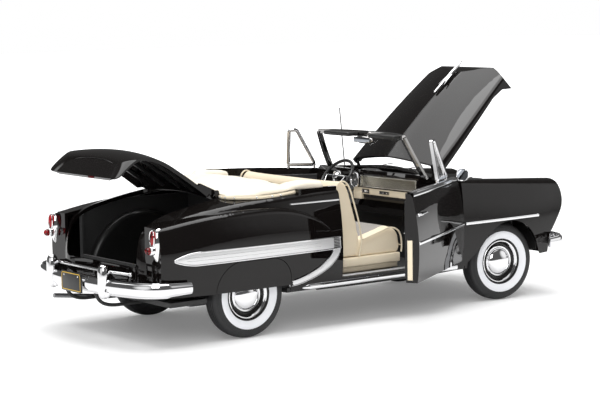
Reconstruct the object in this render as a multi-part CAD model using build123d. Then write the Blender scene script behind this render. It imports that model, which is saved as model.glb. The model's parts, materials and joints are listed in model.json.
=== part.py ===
"""Four-wheel convertible car, a 1:18 die-cast display model with opening hood, doors and trunk.

Frame: +X forward, +Y to the car's left, +Z up; origin on the floor below the middle of the bounding box.
All sizes are in millimetres. Panels are cut from one closed body form, then swung open on their hinges.
"""
from math import cos, radians, sin
import os

from build123d import *

os.makedirs("parts", exist_ok=True)

# ---------------------------------------------------------------- driving dimensions
WHEELBASE = 162.3
FRONT_AXLE_X = 93.1
REAR_AXLE_X = FRONT_AXLE_X - WHEELBASE
FRONT_TRACK = 80.0
REAR_TRACK = 83.0

TYRE_R = 20.1
TYRE_W = 9.6
RIM_R = 11.6            # bead seat, where tyre and wheel meet
HUB_DEPTH = 1.0         # hub face behind the wheel's middle plane
WHEEL_BORE_R = 1.5
AXLE_R = 1.45           # running fit in the wheel bore
KINGPIN_R = 1.1
KINGPIN_BORE_R = 1.15
KNUCKLE_INSET = 5.0     # kingpin line to the wheel's middle plane
STEER_REST = 5.5        # the front wheels rest turned a little to the right

WALL = 1.6              # die-cast wall
LINING_PLAY = 0.1       # linings to the wall
PANEL_GAP = 0.45        # shut line round every opening panel
SILL_Z = 19.0           # underside of the body sides between the wheels
PAN_TOP_Z = 21.0        # top of the chassis pan
PAN_T = 2.2

DOOR_FRONT_LOW_X = 58.6  # shut line at the hinge pillar, at the sill
DOOR_FRONT_TOP_X = 61.8  # the same at the belt
DOOR_HINGE_X = 61.0
DOOR_REAR_X = -16.9     # shut line at the lock pillar
DOOR_SILL_Z = 24.4
DOOR_INNER_Y = 44.6     # inner face of the closed door
DOOR_HINGE_Y = 50.6
DOOR_OPEN = 32.0

HOOD_REAR_X = 58.0
HOOD_LIP_Z = 43.0       # lower edge of the hood's nose
HOOD_HINGE_X = 48.0
HOOD_HINGE_Z = 66.3
HOOD_OPEN = 46.4
HOOD_EDGE_R = 2.6       # rolled side edges
HOOD_T = 1.3
HOOD_CREASE = 0.5       # the flanks lie this far below a smooth crown, which leaves a crease along the middle
ORNAMENT_X = 106.0
COWL_X = HOOD_REAR_X - 0.45
HOOD_ARM_R = 10.35      # the hood's curved arms slide through the cowl wall on this radius about its hinge axis
HOOD_ARM_Y = 30.6
HOOD_ARM_T = 1.2
HOOD_ARM_TAIL = -88.0   # ends of the arms with the hood closed, as angles about the hinge axis
HOOD_ARM_TIP = -17.0
HOOD_ARM_PLAY = 0.2

LID_FRONT_X = -76.5
LID_HALF = 31.0
LID_LIP_Z = 37.0
LID_HINGE_Z = 67.9
LID_CORNER_R = 3.0
LID_OPEN = 45.0
LID_HINGE_Y = 29.0      # middle of each trunk hinge
LID_PIN_R = 0.5
LID_BARREL_R = 1.1

CABIN_FRONT_X = 50.0
CABIN_REAR_X = -36.0
CABIN_HALF = 43.6
CABIN_CORNER_R = 6.0    # plan corners of the cabin opening

NOSE_LOW_X = 123.0      # front valance
NOSE_KNEE_Z = 32.0
NOSE_CHIN_X = 131.5     # below the headlamps and at the hood lip
NOSE_X = 134.6          # foremost sheet metal
NOSE_MID_Z = 51.5
NOSE_BROW_X = 131.0
NOSE_BROW_Z = 60.5
NOSE_CREST_X = 121.0

MOUTH_HALF = 37.0       # grille opening
MOUTH_LOW_Z = 25.5
MOUTH_TOP_Z = 41.3
LATCH_REAR_X = 118.9    # rear edge of the latch panel under the hood lip
NOSE_WALL_Y = 32.2      # inner walls of the fender noses, beside the hood

ARCH_R = 21.8           # front wheel opening
ARCH_FOOT_REAR = 34.0
ARCH_FOOT_FRONT = 23.6
ARCH_INNER_Y = 26.0

SKIRT_FRONT_X = -48.8   # rear wheel cover
SKIRT_REAR_X = -90.3
SKIRT_TOP_Z = 37.4
SKIRT_LOW_Z = 23.6
SKIRT_CORNER = 11.0
SKIRT_INNER_Y = 47.6

SPEAR_T = 0.9           # thickness of bright side mouldings
SPEAR_Z = 43.0
QUARTER_FRONT_X = -22.5  # front end of the quarter spear
GUARD_Y = 23.4
GUARD_R = 2.6
RAIL_R = 0.7            # thin upper rail between the rear guards

# Windshield, at its foot and at its header.
# columns: half width, x at the ends, x on the centre line, z
WINDSHIELD_ARCS = [
    (39.8, 49.2, 57.8, 63.5),
    (36.0, 35.2, 44.4, 88.4),
]

TUB_FRONT_X = 56.0
TUB_REAR_X = -48.5
TUB_CLEAR = 1.2         # tub side to the closed door's inner face
TUB_HALF = DOOR_INNER_Y - TUB_CLEAR
TUB_WALL = 1.2
SEAT_HALF = TUB_HALF - 2.9
REAR_SEAT_HALF = TUB_HALF - TUB_WALL - 0.7
DASH_HALF = TUB_HALF - 1.9
GAUGE_Y = (8.3, 23.0)
GAUGE_Z = 62.9
DASH_PAD_FRONT_X = 43.4   # ahead of this the pad lies below the windshield frame
GAUGE_R = 3.9
TUNNEL_HALF = 4.5
TUNNEL_H = 4.0
TUB_TOP_Z = 63.0        # top of the tub's quarter walls and of its rear bulkhead
FIREWALL_TOP_Z = 62.0
WHEEL_HUB = (33.5, 18.0, 64.5)
COLUMN_FOOT = (44.0, 18.0, 55.5)
STEERING_RIM_R = 10.2
TRUNK_FLOOR_Z = 25.4

KINGPIN_Y = FRONT_TRACK / 2 - KNUCKLE_INSET
KNUCKLE_R = 2.3
STUB_REACH = 2.4
BOSS_X = (66.0, -56.0)
BOSS_R = 3.2
BOSS_BORE_R = 1.25
EXHAUST_Y = 22.0
AIR_CLEANER = (104.0, -8.0)
HEADLAMP_Y = 39.5
HEADLAMP_Z = 52.0
TAIL_LAMP_Y = 45.8
ANTENNA = (57.3, 41.0)

# Cover over the folded top, rear to front.
# columns: x, half width, shoulder z, crown z on the centre line
BOOT_STATIONS = [
    (-74.8, 36.0, 67.2, 69.4),
    (-62.0, 43.5, 68.2, 72.0),
    (-50.0, 44.0, 69.0, 72.0),
    (-38.5, 43.0, 68.6, 70.6),
]
# Its wings beside the rear seat.
# columns: x, inner y, outer y, top z
BOOT_WING = [
    (-42.0, 33.0, 43.2, 71.6),
    (-30.0, 35.0, 43.2, 72.0),
    (-21.0, 37.0, 43.2, 70.6),
]
BOOT_LOW_Z = 64.05
BOOT_WING_LOW_Z = TUB_TOP_Z + 0.1

# Cross-sections of the closed body behind the cowl, rear to front.
# columns: x, bottom z, half width at the sill, half width at the side, side z, belt half width, belt z,
#          crown z on the centre line, belt corner radius
BODY_STATIONS = [
    (-121.5, 29.0, 22.0, 24.0, 38.0, 20.0, 45.0, 47.5, 3.0),
    (-118.5, 25.5, 37.0, 38.5, 38.0, 33.0, 52.0, 55.0, 3.5),
    (-112.0, 24.0, 42.5, 44.0, 38.0, 38.0, 56.0, 60.4, 4.0),
    (-100.0, 23.6, 45.5, 47.5, 39.0, 41.0, 59.0, 64.0, 4.0),
    (-78.0, 22.6, 48.0, 50.0, 40.0, 43.5, 62.5, 67.6, 4.0),
    (-45.0, 19.8, 49.3, 51.0, 41.0, 46.5, 65.0, 69.5, 3.5),
    (-10.0, SILL_Z, 49.5, 51.2, 42.0, 48.0, 66.0, 70.0, 3.0),
    (30.0, SILL_Z, 49.5, 51.2, 42.0, 48.0, 65.8, 69.6, 3.0),
    (45.0, 19.3, 49.4, 51.1, 42.0, 47.8, 65.3, 69.1, 3.3),
    (COWL_X, 19.8, 49.3, 51.0, 42.0, 47.6, 64.8, 68.5, 3.5),
]
# Cross-sections ahead of the cowl: two fender crowns with a valley for the hood between them.
# columns: x, bottom z, half width at the sill, half width at the side, side z, belt half width, belt z,
#          valley half width, valley z, fender crown z, belt corner radius
FRONT_STATIONS = [
    (COWL_X, 19.8, 49.3, 51.0, 42.0, 47.6, 64.8, 34.0, 62.4, 65.2, 3.5),
    (74.0, 20.6, 49.0, 50.8, 42.0, 47.2, 63.6, 33.4, 61.0, 64.2, 3.6),
    (92.0, 21.4, 48.6, 50.4, 42.0, 46.6, 62.2, 32.4, 59.4, 63.0, 4.0),
    (114.0, 22.2, 47.4, 49.2, 42.0, 45.4, 60.6, 30.8, 57.6, 61.6, 4.4),
    (136.0, 23.0, 44.5, 46.5, 42.0, 43.0, 58.8, 29.0, 55.6, 60.0, 4.6),
]
# Cross-sections of the closed hood.
# columns: x, half width, z of the side edge, crown z on the centre line
HOOD_STATIONS = [
    (HOOD_REAR_X, 35.4, 62.6, 68.4),
    (78.0, 34.8, 61.2, 67.6),
    (98.0, 33.4, 59.6, 66.0),
    (116.0, 31.6, 57.8, 63.6),
    (136.0, 29.2, 55.2, 59.6),
]
HOOD_FLANGE = [(57.0, 58.8), (84.0, 57.6), (110.0, 56.0), (118.0, 53.6), (123.0, 48.6), (127.6, HOOD_LIP_Z)]
HOOD_NOSE_SIDE_X = 122.5    # where the hood's curved nose meets its sides
HOOD_NOSE_X = 132.6
# Cross-sections of the raised rear fender (one side), front to rear.
# columns: x, bottom z, sill y, side y, top y, top z, top corner radius
FENDER_STATIONS = [
    (-15.5, 19.3, 49.0, 50.6, 50.4, 38.0, 1.2),
    (-21.0, 19.5, 49.4, 51.3, 51.0, 45.0, 1.6),
    (-30.0, 19.8, 49.8, 52.0, 51.2, 52.6, 2.4),
    (-44.0, 20.6, 50.2, 52.4, 50.9, 58.6, 3.0),
    (-62.0, 22.0, 50.4, 52.5, 50.6, 60.8, 3.4),
    (-88.0, 23.4, 50.0, 52.1, 50.0, 59.8, 3.4),
    (-108.0, 23.8, 48.8, 50.9, 48.6, 57.4, 3.2),
    (-119.6, 24.2, 47.2, 49.2, 47.2, 55.6, 2.8),
]
FENDER_ROOT_Y = 36.0

SIDES = {"right": -1, "left": 1}


# ---------------------------------------------------------------- helpers
def yz_plane(x):
    """Drawing plane square to the car's length: first axis +Y, second axis +Z."""
    return Plane(origin=(x, 0, 0), x_dir=(0, 1, 0), z_dir=(1, 0, 0))


def xz_plane(y):
    """Side-view drawing plane: first axis +X, second axis +Z, extruding towards -Y."""
    return Plane(origin=(0, y, 0), x_dir=(1, 0, 0), z_dir=(0, -1, 0))


def box(x0, x1, y0, y1, z0, z1):
    """Axis-aligned block between two corners."""
    return Pos((x0 + x1) / 2, (y0 + y1) / 2, (z0 + z1) / 2) * Box(abs(x1 - x0), abs(y1 - y0), abs(z1 - z0))


def side_prism(points, y0, y1):
    """Side-view polygon (x, z) extruded between two Y planes."""
    face = make_face(xz_plane(max(y0, y1)) * Polyline(*points, close=True))
    return extrude(face, amount=abs(y1 - y0), dir=(0, -1, 0))


def plan_prism(points, z0, z1):
    """Plan-view polygon (x, y) extruded between two heights."""
    face = make_face(Plane.XY.offset(z0) * Polyline(*points, close=True))
    return extrude(face, amount=z1 - z0, dir=(0, 0, 1))


def front_prism(points, x0, x1):
    """Front-view polygon (y, z) extruded forward between two X planes."""
    face = make_face(yz_plane(x0) * Polyline(*points, close=True))
    return extrude(face, amount=x1 - x0, dir=(1, 0, 0))


def cyl_y(x, z, y0, y1, r):
    """Cylinder along Y."""
    return Pos(x, (y0 + y1) / 2, z) * Rot(90, 0, 0) * Cylinder(r, abs(y1 - y0))


def cyl_x(y, z, x0, x1, r):
    """Cylinder along X."""
    return Pos((x0 + x1) / 2, y, z) * Rot(0, 90, 0) * Cylinder(r, abs(x1 - x0))


def cyl_z(x, y, z0, z1, r):
    """Cylinder along Z."""
    return Pos(x, y, (z0 + z1) / 2) * Cylinder(r, abs(z1 - z0))


def rod(p, q, r):
    """Round bar between two points."""
    p, q = Vector(*p), Vector(*q)
    return extrude(Plane(origin=p, z_dir=q - p) * Circle(r), amount=(q - p).length)


def swing(shape, x, y, z, axis, angle):
    """Rotate a shape about an axis through a point."""
    return shape.rotate(Axis((x, y, z), axis), angle)


def biggest(shape):
    """The largest solid of a shape."""
    return max(shape.solids(), key=lambda solid: solid.volume)


def save(name, shape):
    """Write one sub-part."""
    export_step(shape, f"parts/{name}.step")


# ---------------------------------------------------------------- closed body form
def body_section(row, inset, bottom_drop):
    """One closed cross-section face; the inset makes the inner face of the wall."""
    x, z_bottom, y_sill, y_side, z_side, y_belt, z_belt, z_crown, r_belt = row
    z0 = z_bottom - bottom_drop
    ys, ym, yb = y_sill - inset, y_side - inset, y_belt - inset
    zb, zc = z_belt - inset, z_crown - inset
    plane = yz_plane(x)
    right = ThreePointArc((-yb, zb), (-ym, z_side), (-ys, z0))
    floor = Line((-ys, z0), (ys, z0))
    left = ThreePointArc((ys, z0), (ym, z_side), (yb, zb))
    top = ThreePointArc((yb, zb), (0, zc), (-yb, zb))
    face = make_face([right, floor, left, top])
    corners = face.vertices().sort_by(Axis.Y)[-2:]
    face = fillet(corners, r_belt - inset * 0.5)
    return plane * face


def shifted_ends(rows, first, last):
    """The station rows with the x of the first and of the last row moved."""
    rows = list(rows)
    rows[0] = (rows[0][0] + first,) + rows[0][1:]
    rows[-1] = (rows[-1][0] + last,) + rows[-1][1:]
    return rows


def body_form(inset=0.0, bottom_drop=0.0):
    """Solid of the closed body up to the cowl, without the rear fenders."""
    rows = shifted_ends(BODY_STATIONS, inset, -inset)
    return loft([body_section(row, inset, bottom_drop) for row in rows])


def front_section(row, inset, bottom_drop):
    """One cross-section face ahead of the cowl, with a crown on each fender and the valley between."""
    x, z_bottom, y_sill, y_side, z_side, y_belt, z_belt, y_valley, z_valley, z_crown, r_belt = row
    z0 = z_bottom - bottom_drop
    ys, ym, yb, yv = y_sill - inset, y_side - inset, y_belt - inset, y_valley
    zb, zv, zc = z_belt - inset, z_valley - inset, z_crown - inset
    y_mid = (yb + yv) / 2
    edges = [
        ThreePointArc((-yb, zb), (-ym, z_side), (-ys, z0)),
        Line((-ys, z0), (ys, z0)),
        ThreePointArc((ys, z0), (ym, z_side), (yb, zb)),
        ThreePointArc((yb, zb), (y_mid, zc), (yv, zv)),
        Line((yv, zv), (-yv, zv)),
        ThreePointArc((-yv, zv), (-y_mid, zc), (-yb, zb)),
    ]
    face = make_face(edges)
    belts = face.vertices().sort_by(Axis.Y)[-2:]
    face = fillet(belts, r_belt - inset * 0.5)
    return yz_plane(x) * face


def front_form(inset=0.0, bottom_drop=0.0):
    """Solid of the fenders and the valley between them, ahead of the cowl."""
    rows = shifted_ends(FRONT_STATIONS, -inset, inset)
    return loft([front_section(row, inset, bottom_drop) for row in rows])


def fender_section(row, inset, bottom_drop):
    """One cross-section of the left rear fender."""
    x, z_bottom, y_sill, y_side, y_top, z_top, r_top = row
    z0 = z_bottom - bottom_drop
    ys, ym, yt, zt = y_sill - inset, y_side - inset, y_top - inset, z_top - inset
    z_mid = (z_bottom + z_top) / 2
    floor = Line((FENDER_ROOT_Y, z0), (ys, z0))
    side = ThreePointArc((ys, z0), (ym, z_mid), (yt, zt))
    top = Line((yt, zt), (FENDER_ROOT_Y, zt + 0.4))
    root = Line((FENDER_ROOT_Y, zt + 0.4), (FENDER_ROOT_Y, z0))
    face = make_face([floor, side, top, root])
    corner = face.vertices().sort_by(Axis.X)[-2:].sort_by(Axis.Y)[-1:]
    face = fillet(corner, max(r_top - inset * 0.5, 0.5))
    return yz_plane(x) * face


def rear_fender(inset=0.0, bottom_drop=0.0):
    """Solid of the left raised rear fender."""
    rows = list(FENDER_STATIONS)
    if inset:
        tail = rows[-1]
        rows[-1] = (tail[0] + inset,) + tail[1:]
    return loft([fender_section(row, inset, bottom_drop) for row in rows])


def nose_profile(inset=0.0):
    """Side-view outline of the car's front, from the valance up over the headlamps and the hood nose."""
    low = (NOSE_LOW_X - inset, 0.0)
    knee = (NOSE_LOW_X - inset, NOSE_KNEE_Z)
    chin = (NOSE_CHIN_X - inset, HOOD_LIP_Z)
    brow = (NOSE_BROW_X - inset, NOSE_BROW_Z - inset)
    crest = (NOSE_CREST_X - inset, 80.0)
    edges = [
        Line(low, knee),
        Line(knee, chin),
        ThreePointArc(chin, (NOSE_X - inset, NOSE_MID_Z), brow),
        Line(brow, crest),
        Line(crest, (-200.0, 80.0)),
        Line((-200.0, 80.0), (-200.0, 0.0)),
        Line((-200.0, 0.0), low),
    ]
    return extrude(xz_plane(70) * make_face(edges), amount=140, dir=(0, -1, 0))


def closed_form(inset=0.0, bottom_drop=0.0):
    """The whole closed body as one solid: main form, both rear fenders and the shaped nose."""
    fender = rear_fender(inset, bottom_drop)
    form = body_form(inset, bottom_drop) + front_form(inset, bottom_drop) + fender + mirror(fender, Plane.XZ)
    return form & nose_profile(inset)


# ---------------------------------------------------------------- opening outlines
def hood_section(row, inset):
    """One cross-section of the closed hood as a tall face: side walls up to a crowned top with round shoulders."""
    x, half, z_edge, z_crown = row
    y, low, edge, crown = half - inset, HOOD_LIP_Z - 20, z_edge - inset, z_crown - inset
    flank = edge + (crown - edge) * 0.75 - HOOD_CREASE
    edges = [
        Line((-y, low), (y, low)),
        Line((y, low), (y, edge)),
        ThreePointArc((y, edge), (y / 2, flank), (0, crown)),
        ThreePointArc((0, crown), (-y / 2, flank), (-y, edge)),
        Line((-y, edge), (-y, low)),
    ]
    face = make_face(edges)
    shoulders = face.vertices().filter_by(lambda v: v.Y > low + 5 and abs(v.X) > 5)
    face = fillet(shoulders, HOOD_EDGE_R - inset * 0.5)
    return yz_plane(x) * face


def hood_nose(inset=0.0):
    """Hood outline in side view and plan: rounded nose above the lip, curved from side to side."""
    nose = HOOD_NOSE_X - inset
    side = [
        Line((30.0, 20.0), (nose - 2.2, 20.0)),
        Line((nose - 2.2, 20.0), (nose - 2.2, HOOD_LIP_Z)),
        ThreePointArc((nose - 2.2, HOOD_LIP_Z), (nose - 0.6, 52.5 - inset * 0.4), (nose - 8.2, 61.0 - inset)),
        ThreePointArc((nose - 8.2, 61.0 - inset), (nose - 12.6, 63.2 - inset), (nose - 20.0, 66.6 - inset)),
        Line((nose - 20.0, 66.6 - inset), (30.0, 90.0)),
        Line((30.0, 90.0), (30.0, 20.0)),
    ]
    low = Plane.XY.offset(10)
    corner = HOOD_NOSE_SIDE_X - inset
    plan = [
        Line((30, -45), (corner, -45)),
        Line((corner, -45), (corner, -31.5)),
        ThreePointArc((corner, -31.5), (nose, 0), (corner, 31.5)),
        Line((corner, 31.5), (corner, 45)),
        Line((corner, 45), (30, 45)),
        Line((30, 45), (30, -45)),
    ]
    return (extrude(xz_plane(60) * make_face(side), amount=120, dir=(0, -1, 0))
            & extrude(low * make_face(plan), amount=90, dir=(0, 0, 1)))


def hood_form(inset=0.0):
    """Solid under the closed hood's outer face, or under its inner face with an inset."""
    return loft([hood_section(row, inset) for row in HOOD_STATIONS]) & hood_nose(inset)


def hood_prism(gap=0.0):
    """Plan outline of the hood opening, from the lip height up."""
    halves = [(row[0], row[1] + gap) for row in HOOD_STATIONS]
    halves[0] = (HOOD_REAR_X - gap, halves[0][1])
    halves[-1] = (160.0, halves[-1][1])
    points = [(x, -y) for x, y in halves] + [(x, y) for x, y in reversed(halves)]
    return plan_prism(points, HOOD_LIP_Z - gap, 100)


def lid_prism(gap=0.0):
    """Outline of the trunk lid: a plan rectangle with round corners, cut off at the lip height."""
    half = LID_HALF + gap
    plan = Pos(LID_FRONT_X + gap - 50, 0, LID_LIP_Z - gap) * RectangleRounded(100, 2 * half, LID_CORNER_R + gap)
    rear = yz_plane(-160) * Pos(0, LID_LIP_Z - gap + 40) * RectangleRounded(2 * half, 80, LID_CORNER_R)
    return extrude(plan, amount=60) & extrude(rear, amount=100)


def door_prism(side, gap=0.0):
    """Side outline of a door, from the sill up."""
    points = [
        (DOOR_REAR_X - gap, DOOR_SILL_Z - gap),
        (DOOR_FRONT_LOW_X + gap, DOOR_SILL_Z - gap),
        (DOOR_FRONT_TOP_X + gap, 75),
        (DOOR_REAR_X - gap, 75),
    ]
    inner = DOOR_INNER_Y - gap
    return side_prism(points, side * inner, side * 60)


def skirt_outline(gap=0.0):
    """Side outline of the cover over the upper half of a rear wheel."""
    low = SKIRT_LOW_Z if not gap else 0.0
    front, rear = SKIRT_FRONT_X + gap, SKIRT_REAR_X - gap
    top = SKIRT_TOP_Z + gap
    corner = SKIRT_CORNER
    edges = [
        Line((rear, low), (rear, top - corner)),
        ThreePointArc((rear, top - corner), (rear + corner * 0.35, top - corner * 0.35), (rear + corner, top)),
        Line((rear + corner, top), (front - corner, top)),
        ThreePointArc((front - corner, top), (front - corner * 0.3, top - corner * 0.3), (front, top - corner)),
        Line((front, top - corner), (front, low)),
        Line((front, low), (rear, low)),
    ]
    return make_face(edges)


def skirt_prism(side, gap=0.0):
    """The wheel cover's outline pushed through one body side."""
    start = 60.0 if side > 0 else -SKIRT_INNER_Y
    return extrude(xz_plane(start) * skirt_outline(gap), amount=60.0 - SKIRT_INNER_Y, dir=(0, -1, 0))


def front_arch(side):
    """Front wheel opening: a round arch that flares out at its foot, ahead and behind."""
    y0, y1 = ARCH_INNER_Y, 60.0
    hole = cyl_y(FRONT_AXLE_X, TYRE_R, side * y0, side * y1, ARCH_R)
    foot = [
        (FRONT_AXLE_X - ARCH_FOOT_REAR, 10),
        (FRONT_AXLE_X - ARCH_FOOT_REAR, SILL_Z),
        (FRONT_AXLE_X - ARCH_R * 0.94, TYRE_R + ARCH_R * 0.46),
        (FRONT_AXLE_X - ARCH_R * 0.72, TYRE_R + ARCH_R * 0.72),
        (FRONT_AXLE_X, TYRE_R),
        (FRONT_AXLE_X + ARCH_R * 0.80, TYRE_R + ARCH_R * 0.60),
        (FRONT_AXLE_X + ARCH_FOOT_FRONT, SILL_Z + 3),
        (FRONT_AXLE_X + ARCH_FOOT_FRONT, 10),
    ]
    return hole + side_prism(foot, side * y0, side * y1)


def grille_mouth():
    """Opening in the front below the hood lip, where the grille sits."""
    face = yz_plane(100) * Pos(0, (MOUTH_TOP_Z + MOUTH_LOW_Z) / 2)
    return extrude(face * RectangleRounded(2 * MOUTH_HALF, MOUTH_TOP_Z - MOUTH_LOW_Z, 5), amount=60)


def cabin_opening(gap=0.0):
    """Plan outline of the open cabin, cut down through the deck and the cowl."""
    place = Pos((CABIN_FRONT_X + CABIN_REAR_X) / 2, 0, 58)
    length, width = CABIN_FRONT_X - CABIN_REAR_X - 2 * gap, 2 * (CABIN_HALF - gap)
    return extrude(place * RectangleRounded(length, width, CABIN_CORNER_R - gap), amount=30, dir=(0, 0, 1))


# ---------------------------------------------------------------- body shell
def body_shell(skin, outer):
    """Die-cast shell with every opening cut, door jambs and sills."""
    shell = skin - hood_prism(PANEL_GAP) - lid_prism(PANEL_GAP)
    shell -= cabin_opening()
    shell -= grille_mouth()
    latch_half = MOUTH_HALF - 0.5
    shell += box(LATCH_REAR_X, NOSE_X, -latch_half, latch_half, MOUTH_TOP_Z, HOOD_LIP_Z - PANEL_GAP) & outer
    for side in SIDES.values():
        shell += box(LATCH_REAR_X, NOSE_X, side * NOSE_WALL_Y, side * (NOSE_WALL_Y + 1.2), MOUTH_TOP_Z, 60) & outer
        shell -= hood_arm_slot(side, COWL_X - 2.5, COWL_X + 0.5, 59.0, 64.9)
        shell += box(CABIN_REAR_X - 4.0, DOOR_REAR_X - PANEL_GAP, side * 43.9, side * 46.4, TUB_TOP_Z, 67.8)
        shell -= door_prism(side, PANEL_GAP)
        shell -= box(DOOR_REAR_X - PANEL_GAP, CABIN_FRONT_X - CABIN_CORNER_R, side * (CABIN_HALF - PANEL_GAP), side * DOOR_INNER_Y,
                     TUB_TOP_Z - 3.0, 80)
        shell -= skirt_prism(side, PANEL_GAP * 0.5)
        shell -= front_arch(side)
        rear_jamb_x = DOOR_REAR_X - PANEL_GAP
        jamb = box(rear_jamb_x - WALL, rear_jamb_x, side * DOOR_INNER_Y, side * 60, 0, 63)
        shell += jamb & outer
        front_jamb_x = DOOR_FRONT_TOP_X + PANEL_GAP
        jamb = box(front_jamb_x, front_jamb_x + WALL, side * DOOR_INNER_Y, side * 60, 0, 63)
        shell += jamb & outer
        sill = box(DOOR_REAR_X, DOOR_FRONT_TOP_X, side * DOOR_INNER_Y, side * 60, 0, DOOR_SILL_Z - PANEL_GAP)
        shell += sill & outer
        for y in (LID_HINGE_Y - 1.8, LID_HINGE_Y + 1.8):
            ear = side_prism([(LID_FRONT_X + 1.4, 63.0), (LID_FRONT_X + 1.4, LID_HINGE_Z + 0.4), (LID_FRONT_X + 0.8, LID_HINGE_Z + 1.1),
                              (LID_FRONT_X - 1.2, LID_HINGE_Z + 1.1), (LID_FRONT_X - 1.2, LID_HINGE_Z - 1.1),
                              (LID_FRONT_X + 0.5, 64.4), (LID_FRONT_X + 0.5, 63.0)], side * (y - 0.6), side * (y + 0.6))
            shell += ear
        shell += cyl_y(LID_FRONT_X, LID_HINGE_Z, side * (LID_HINGE_Y - 2.0), side * (LID_HINGE_Y + 2.0), LID_PIN_R)
    return shell


# ---------------------------------------------------------------- moving panels
def hood_arm(side):
    """Curved hood hinge arm, a strip bent about the hinge axis, in its closed place."""
    y0, y1 = side * (HOOD_ARM_Y - HOOD_ARM_T / 2), side * (HOOD_ARM_Y + HOOD_ARM_T / 2)
    ring = cyl_y(HOOD_HINGE_X, HOOD_HINGE_Z, y0, y1, HOOD_ARM_R + HOOD_ARM_T / 2)
    ring -= cyl_y(HOOD_HINGE_X, HOOD_HINGE_Z, y0, y1, HOOD_ARM_R - HOOD_ARM_T / 2)
    reach = 2 * HOOD_ARM_R
    middle = (HOOD_ARM_TAIL + HOOD_ARM_TIP) / 2
    sector = [(HOOD_HINGE_X, HOOD_HINGE_Z)]
    for angle in (HOOD_ARM_TAIL, middle, HOOD_ARM_TIP):
        sector.append((HOOD_HINGE_X + reach * cos(radians(angle)), HOOD_HINGE_Z + reach * sin(radians(angle))))
    foot = box(HOOD_REAR_X, HOOD_REAR_X + 5.5, y0 - side * 0.8, y1 + side * 0.8, 60.9, 70) & hood_form(HOOD_T / 2)
    return (ring & side_prism(sector, y0, y1)) + foot


def hood_arm_slot(side, x0, x1, z0, z1):
    """Slot with running play for one hood arm."""
    half = HOOD_ARM_T / 2 + HOOD_ARM_PLAY
    return box(x0, x1, side * (HOOD_ARM_Y - half), side * (HOOD_ARM_Y + half), z0, z1)


def hood_parts():
    """Hood panel with rolled edges and a centre crease, and its jet-shaped ornament, swung open."""
    flange = HOOD_FLANGE + [(140.0, HOOD_LIP_Z), (140.0, 90.0), (40.0, 90.0), (40.0, HOOD_FLANGE[0][1])]
    closed = hood_form()
    panel = (closed - hood_form(HOOD_T)) & side_prism(flange, -60, 60)
    panel = biggest(panel)
    for side in SIDES.values():
        panel += hood_arm(side)
    x, z = ORNAMENT_X, 66.6
    base = side_prism([(x - 16, z - 5), (x + 14, z - 5), (x + 14, z - 1.4), (x + 6, z + 0.4), (x - 10, z + 1.2), (x - 16, z + 0.6)],
                      -1.5, 1.5) - closed
    base = biggest(base)
    jet = Pos(x + 5, 0, z + 1.5) * Rot(0, 4, 0) * scale(Sphere(1), (15, 1.5, 1.1))
    wings = Pos(x - 1, 0, z + 1.3) * scale(Sphere(1), (4.6, 8.0, 0.6))
    ornament = base + jet + wings - closed
    ornament = biggest(ornament)
    hinge = (HOOD_HINGE_X, 0, HOOD_HINGE_Z)
    for name, shape in (("hood_panel", panel), ("hood_ornament", ornament)):
        save(name, swing(shape, *hinge, (0, -1, 0), HOOD_OPEN))


def trunk_parts(skin):
    """Trunk lid and its handle, swung open."""
    panel = skin & lid_prism()
    for side in SIDES.values():
        y0, y1 = side * (LID_HINGE_Y - 1.0), side * (LID_HINGE_Y + 1.0)
        panel -= box(LID_FRONT_X - 2.0, LID_FRONT_X + 1, side * (LID_HINGE_Y - 2.7), side * (LID_HINGE_Y + 2.7), 60, 72)
        panel += side_prism([(LID_FRONT_X - 9.0, 62.8), (LID_FRONT_X - 2.2, 63.6), (LID_FRONT_X, LID_HINGE_Z - 1.0),
                             (LID_FRONT_X, LID_HINGE_Z + 1.0), (LID_FRONT_X - 9.0, 65.6)], y0, y1)
        panel += cyl_y(LID_FRONT_X, LID_HINGE_Z, y0, y1, LID_BARREL_R)
        panel -= cyl_y(LID_FRONT_X, LID_HINGE_Z, y0, y1, LID_PIN_R + 0.1)
    handle = cyl_y(-119.0, 47.0, -7, 7, 1.0) - panel
    handle += box(-121, -116, -1.2, 1.2, 45.5, 48.5) - panel
    hinge = (LID_FRONT_X, 0, LID_HINGE_Z)
    save("trunk_panel", swing(panel, *hinge, (0, 1, 0), LID_OPEN))
    save("trunk_handle", swing(biggest(handle), *hinge, (0, 1, 0), LID_OPEN))


def vent_frame(side):
    """Bright vent-window frame standing on the door, with its pane."""
    low_front = (DOOR_HINGE_X - 13.0, side * 45.6, 67.5)
    top_front = (DOOR_HINGE_X - 23.5, side * 41.6, 87.5)
    top_rear = (DOOR_HINGE_X - 29.0, side * 41.6, 87.5)
    low_rear = (DOOR_HINGE_X - 29.5, side * 45.6, 67.5)
    ring = [low_front, top_front, top_rear, low_rear]
    frame = Sphere(0.9).moved(Location(low_front))
    for start, end in zip(ring, ring[1:] + ring[:1]):
        frame += rod(start, end, 0.9)
        frame += Sphere(0.9).moved(Location(end))
    pane_plane = Plane(origin=low_front, x_dir=Vector(*low_rear) - Vector(*low_front),
                       z_dir=(Vector(*low_rear) - Vector(*low_front)).cross(Vector(*top_rear) - Vector(*low_rear)))
    corners = [pane_plane.to_local_coords(Vector(*point)) for point in ring]
    pane = extrude(pane_plane * make_face(Polyline(*[(c.X, c.Y) for c in corners], close=True)), amount=0.25, both=True)
    return frame, pane - frame


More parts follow.
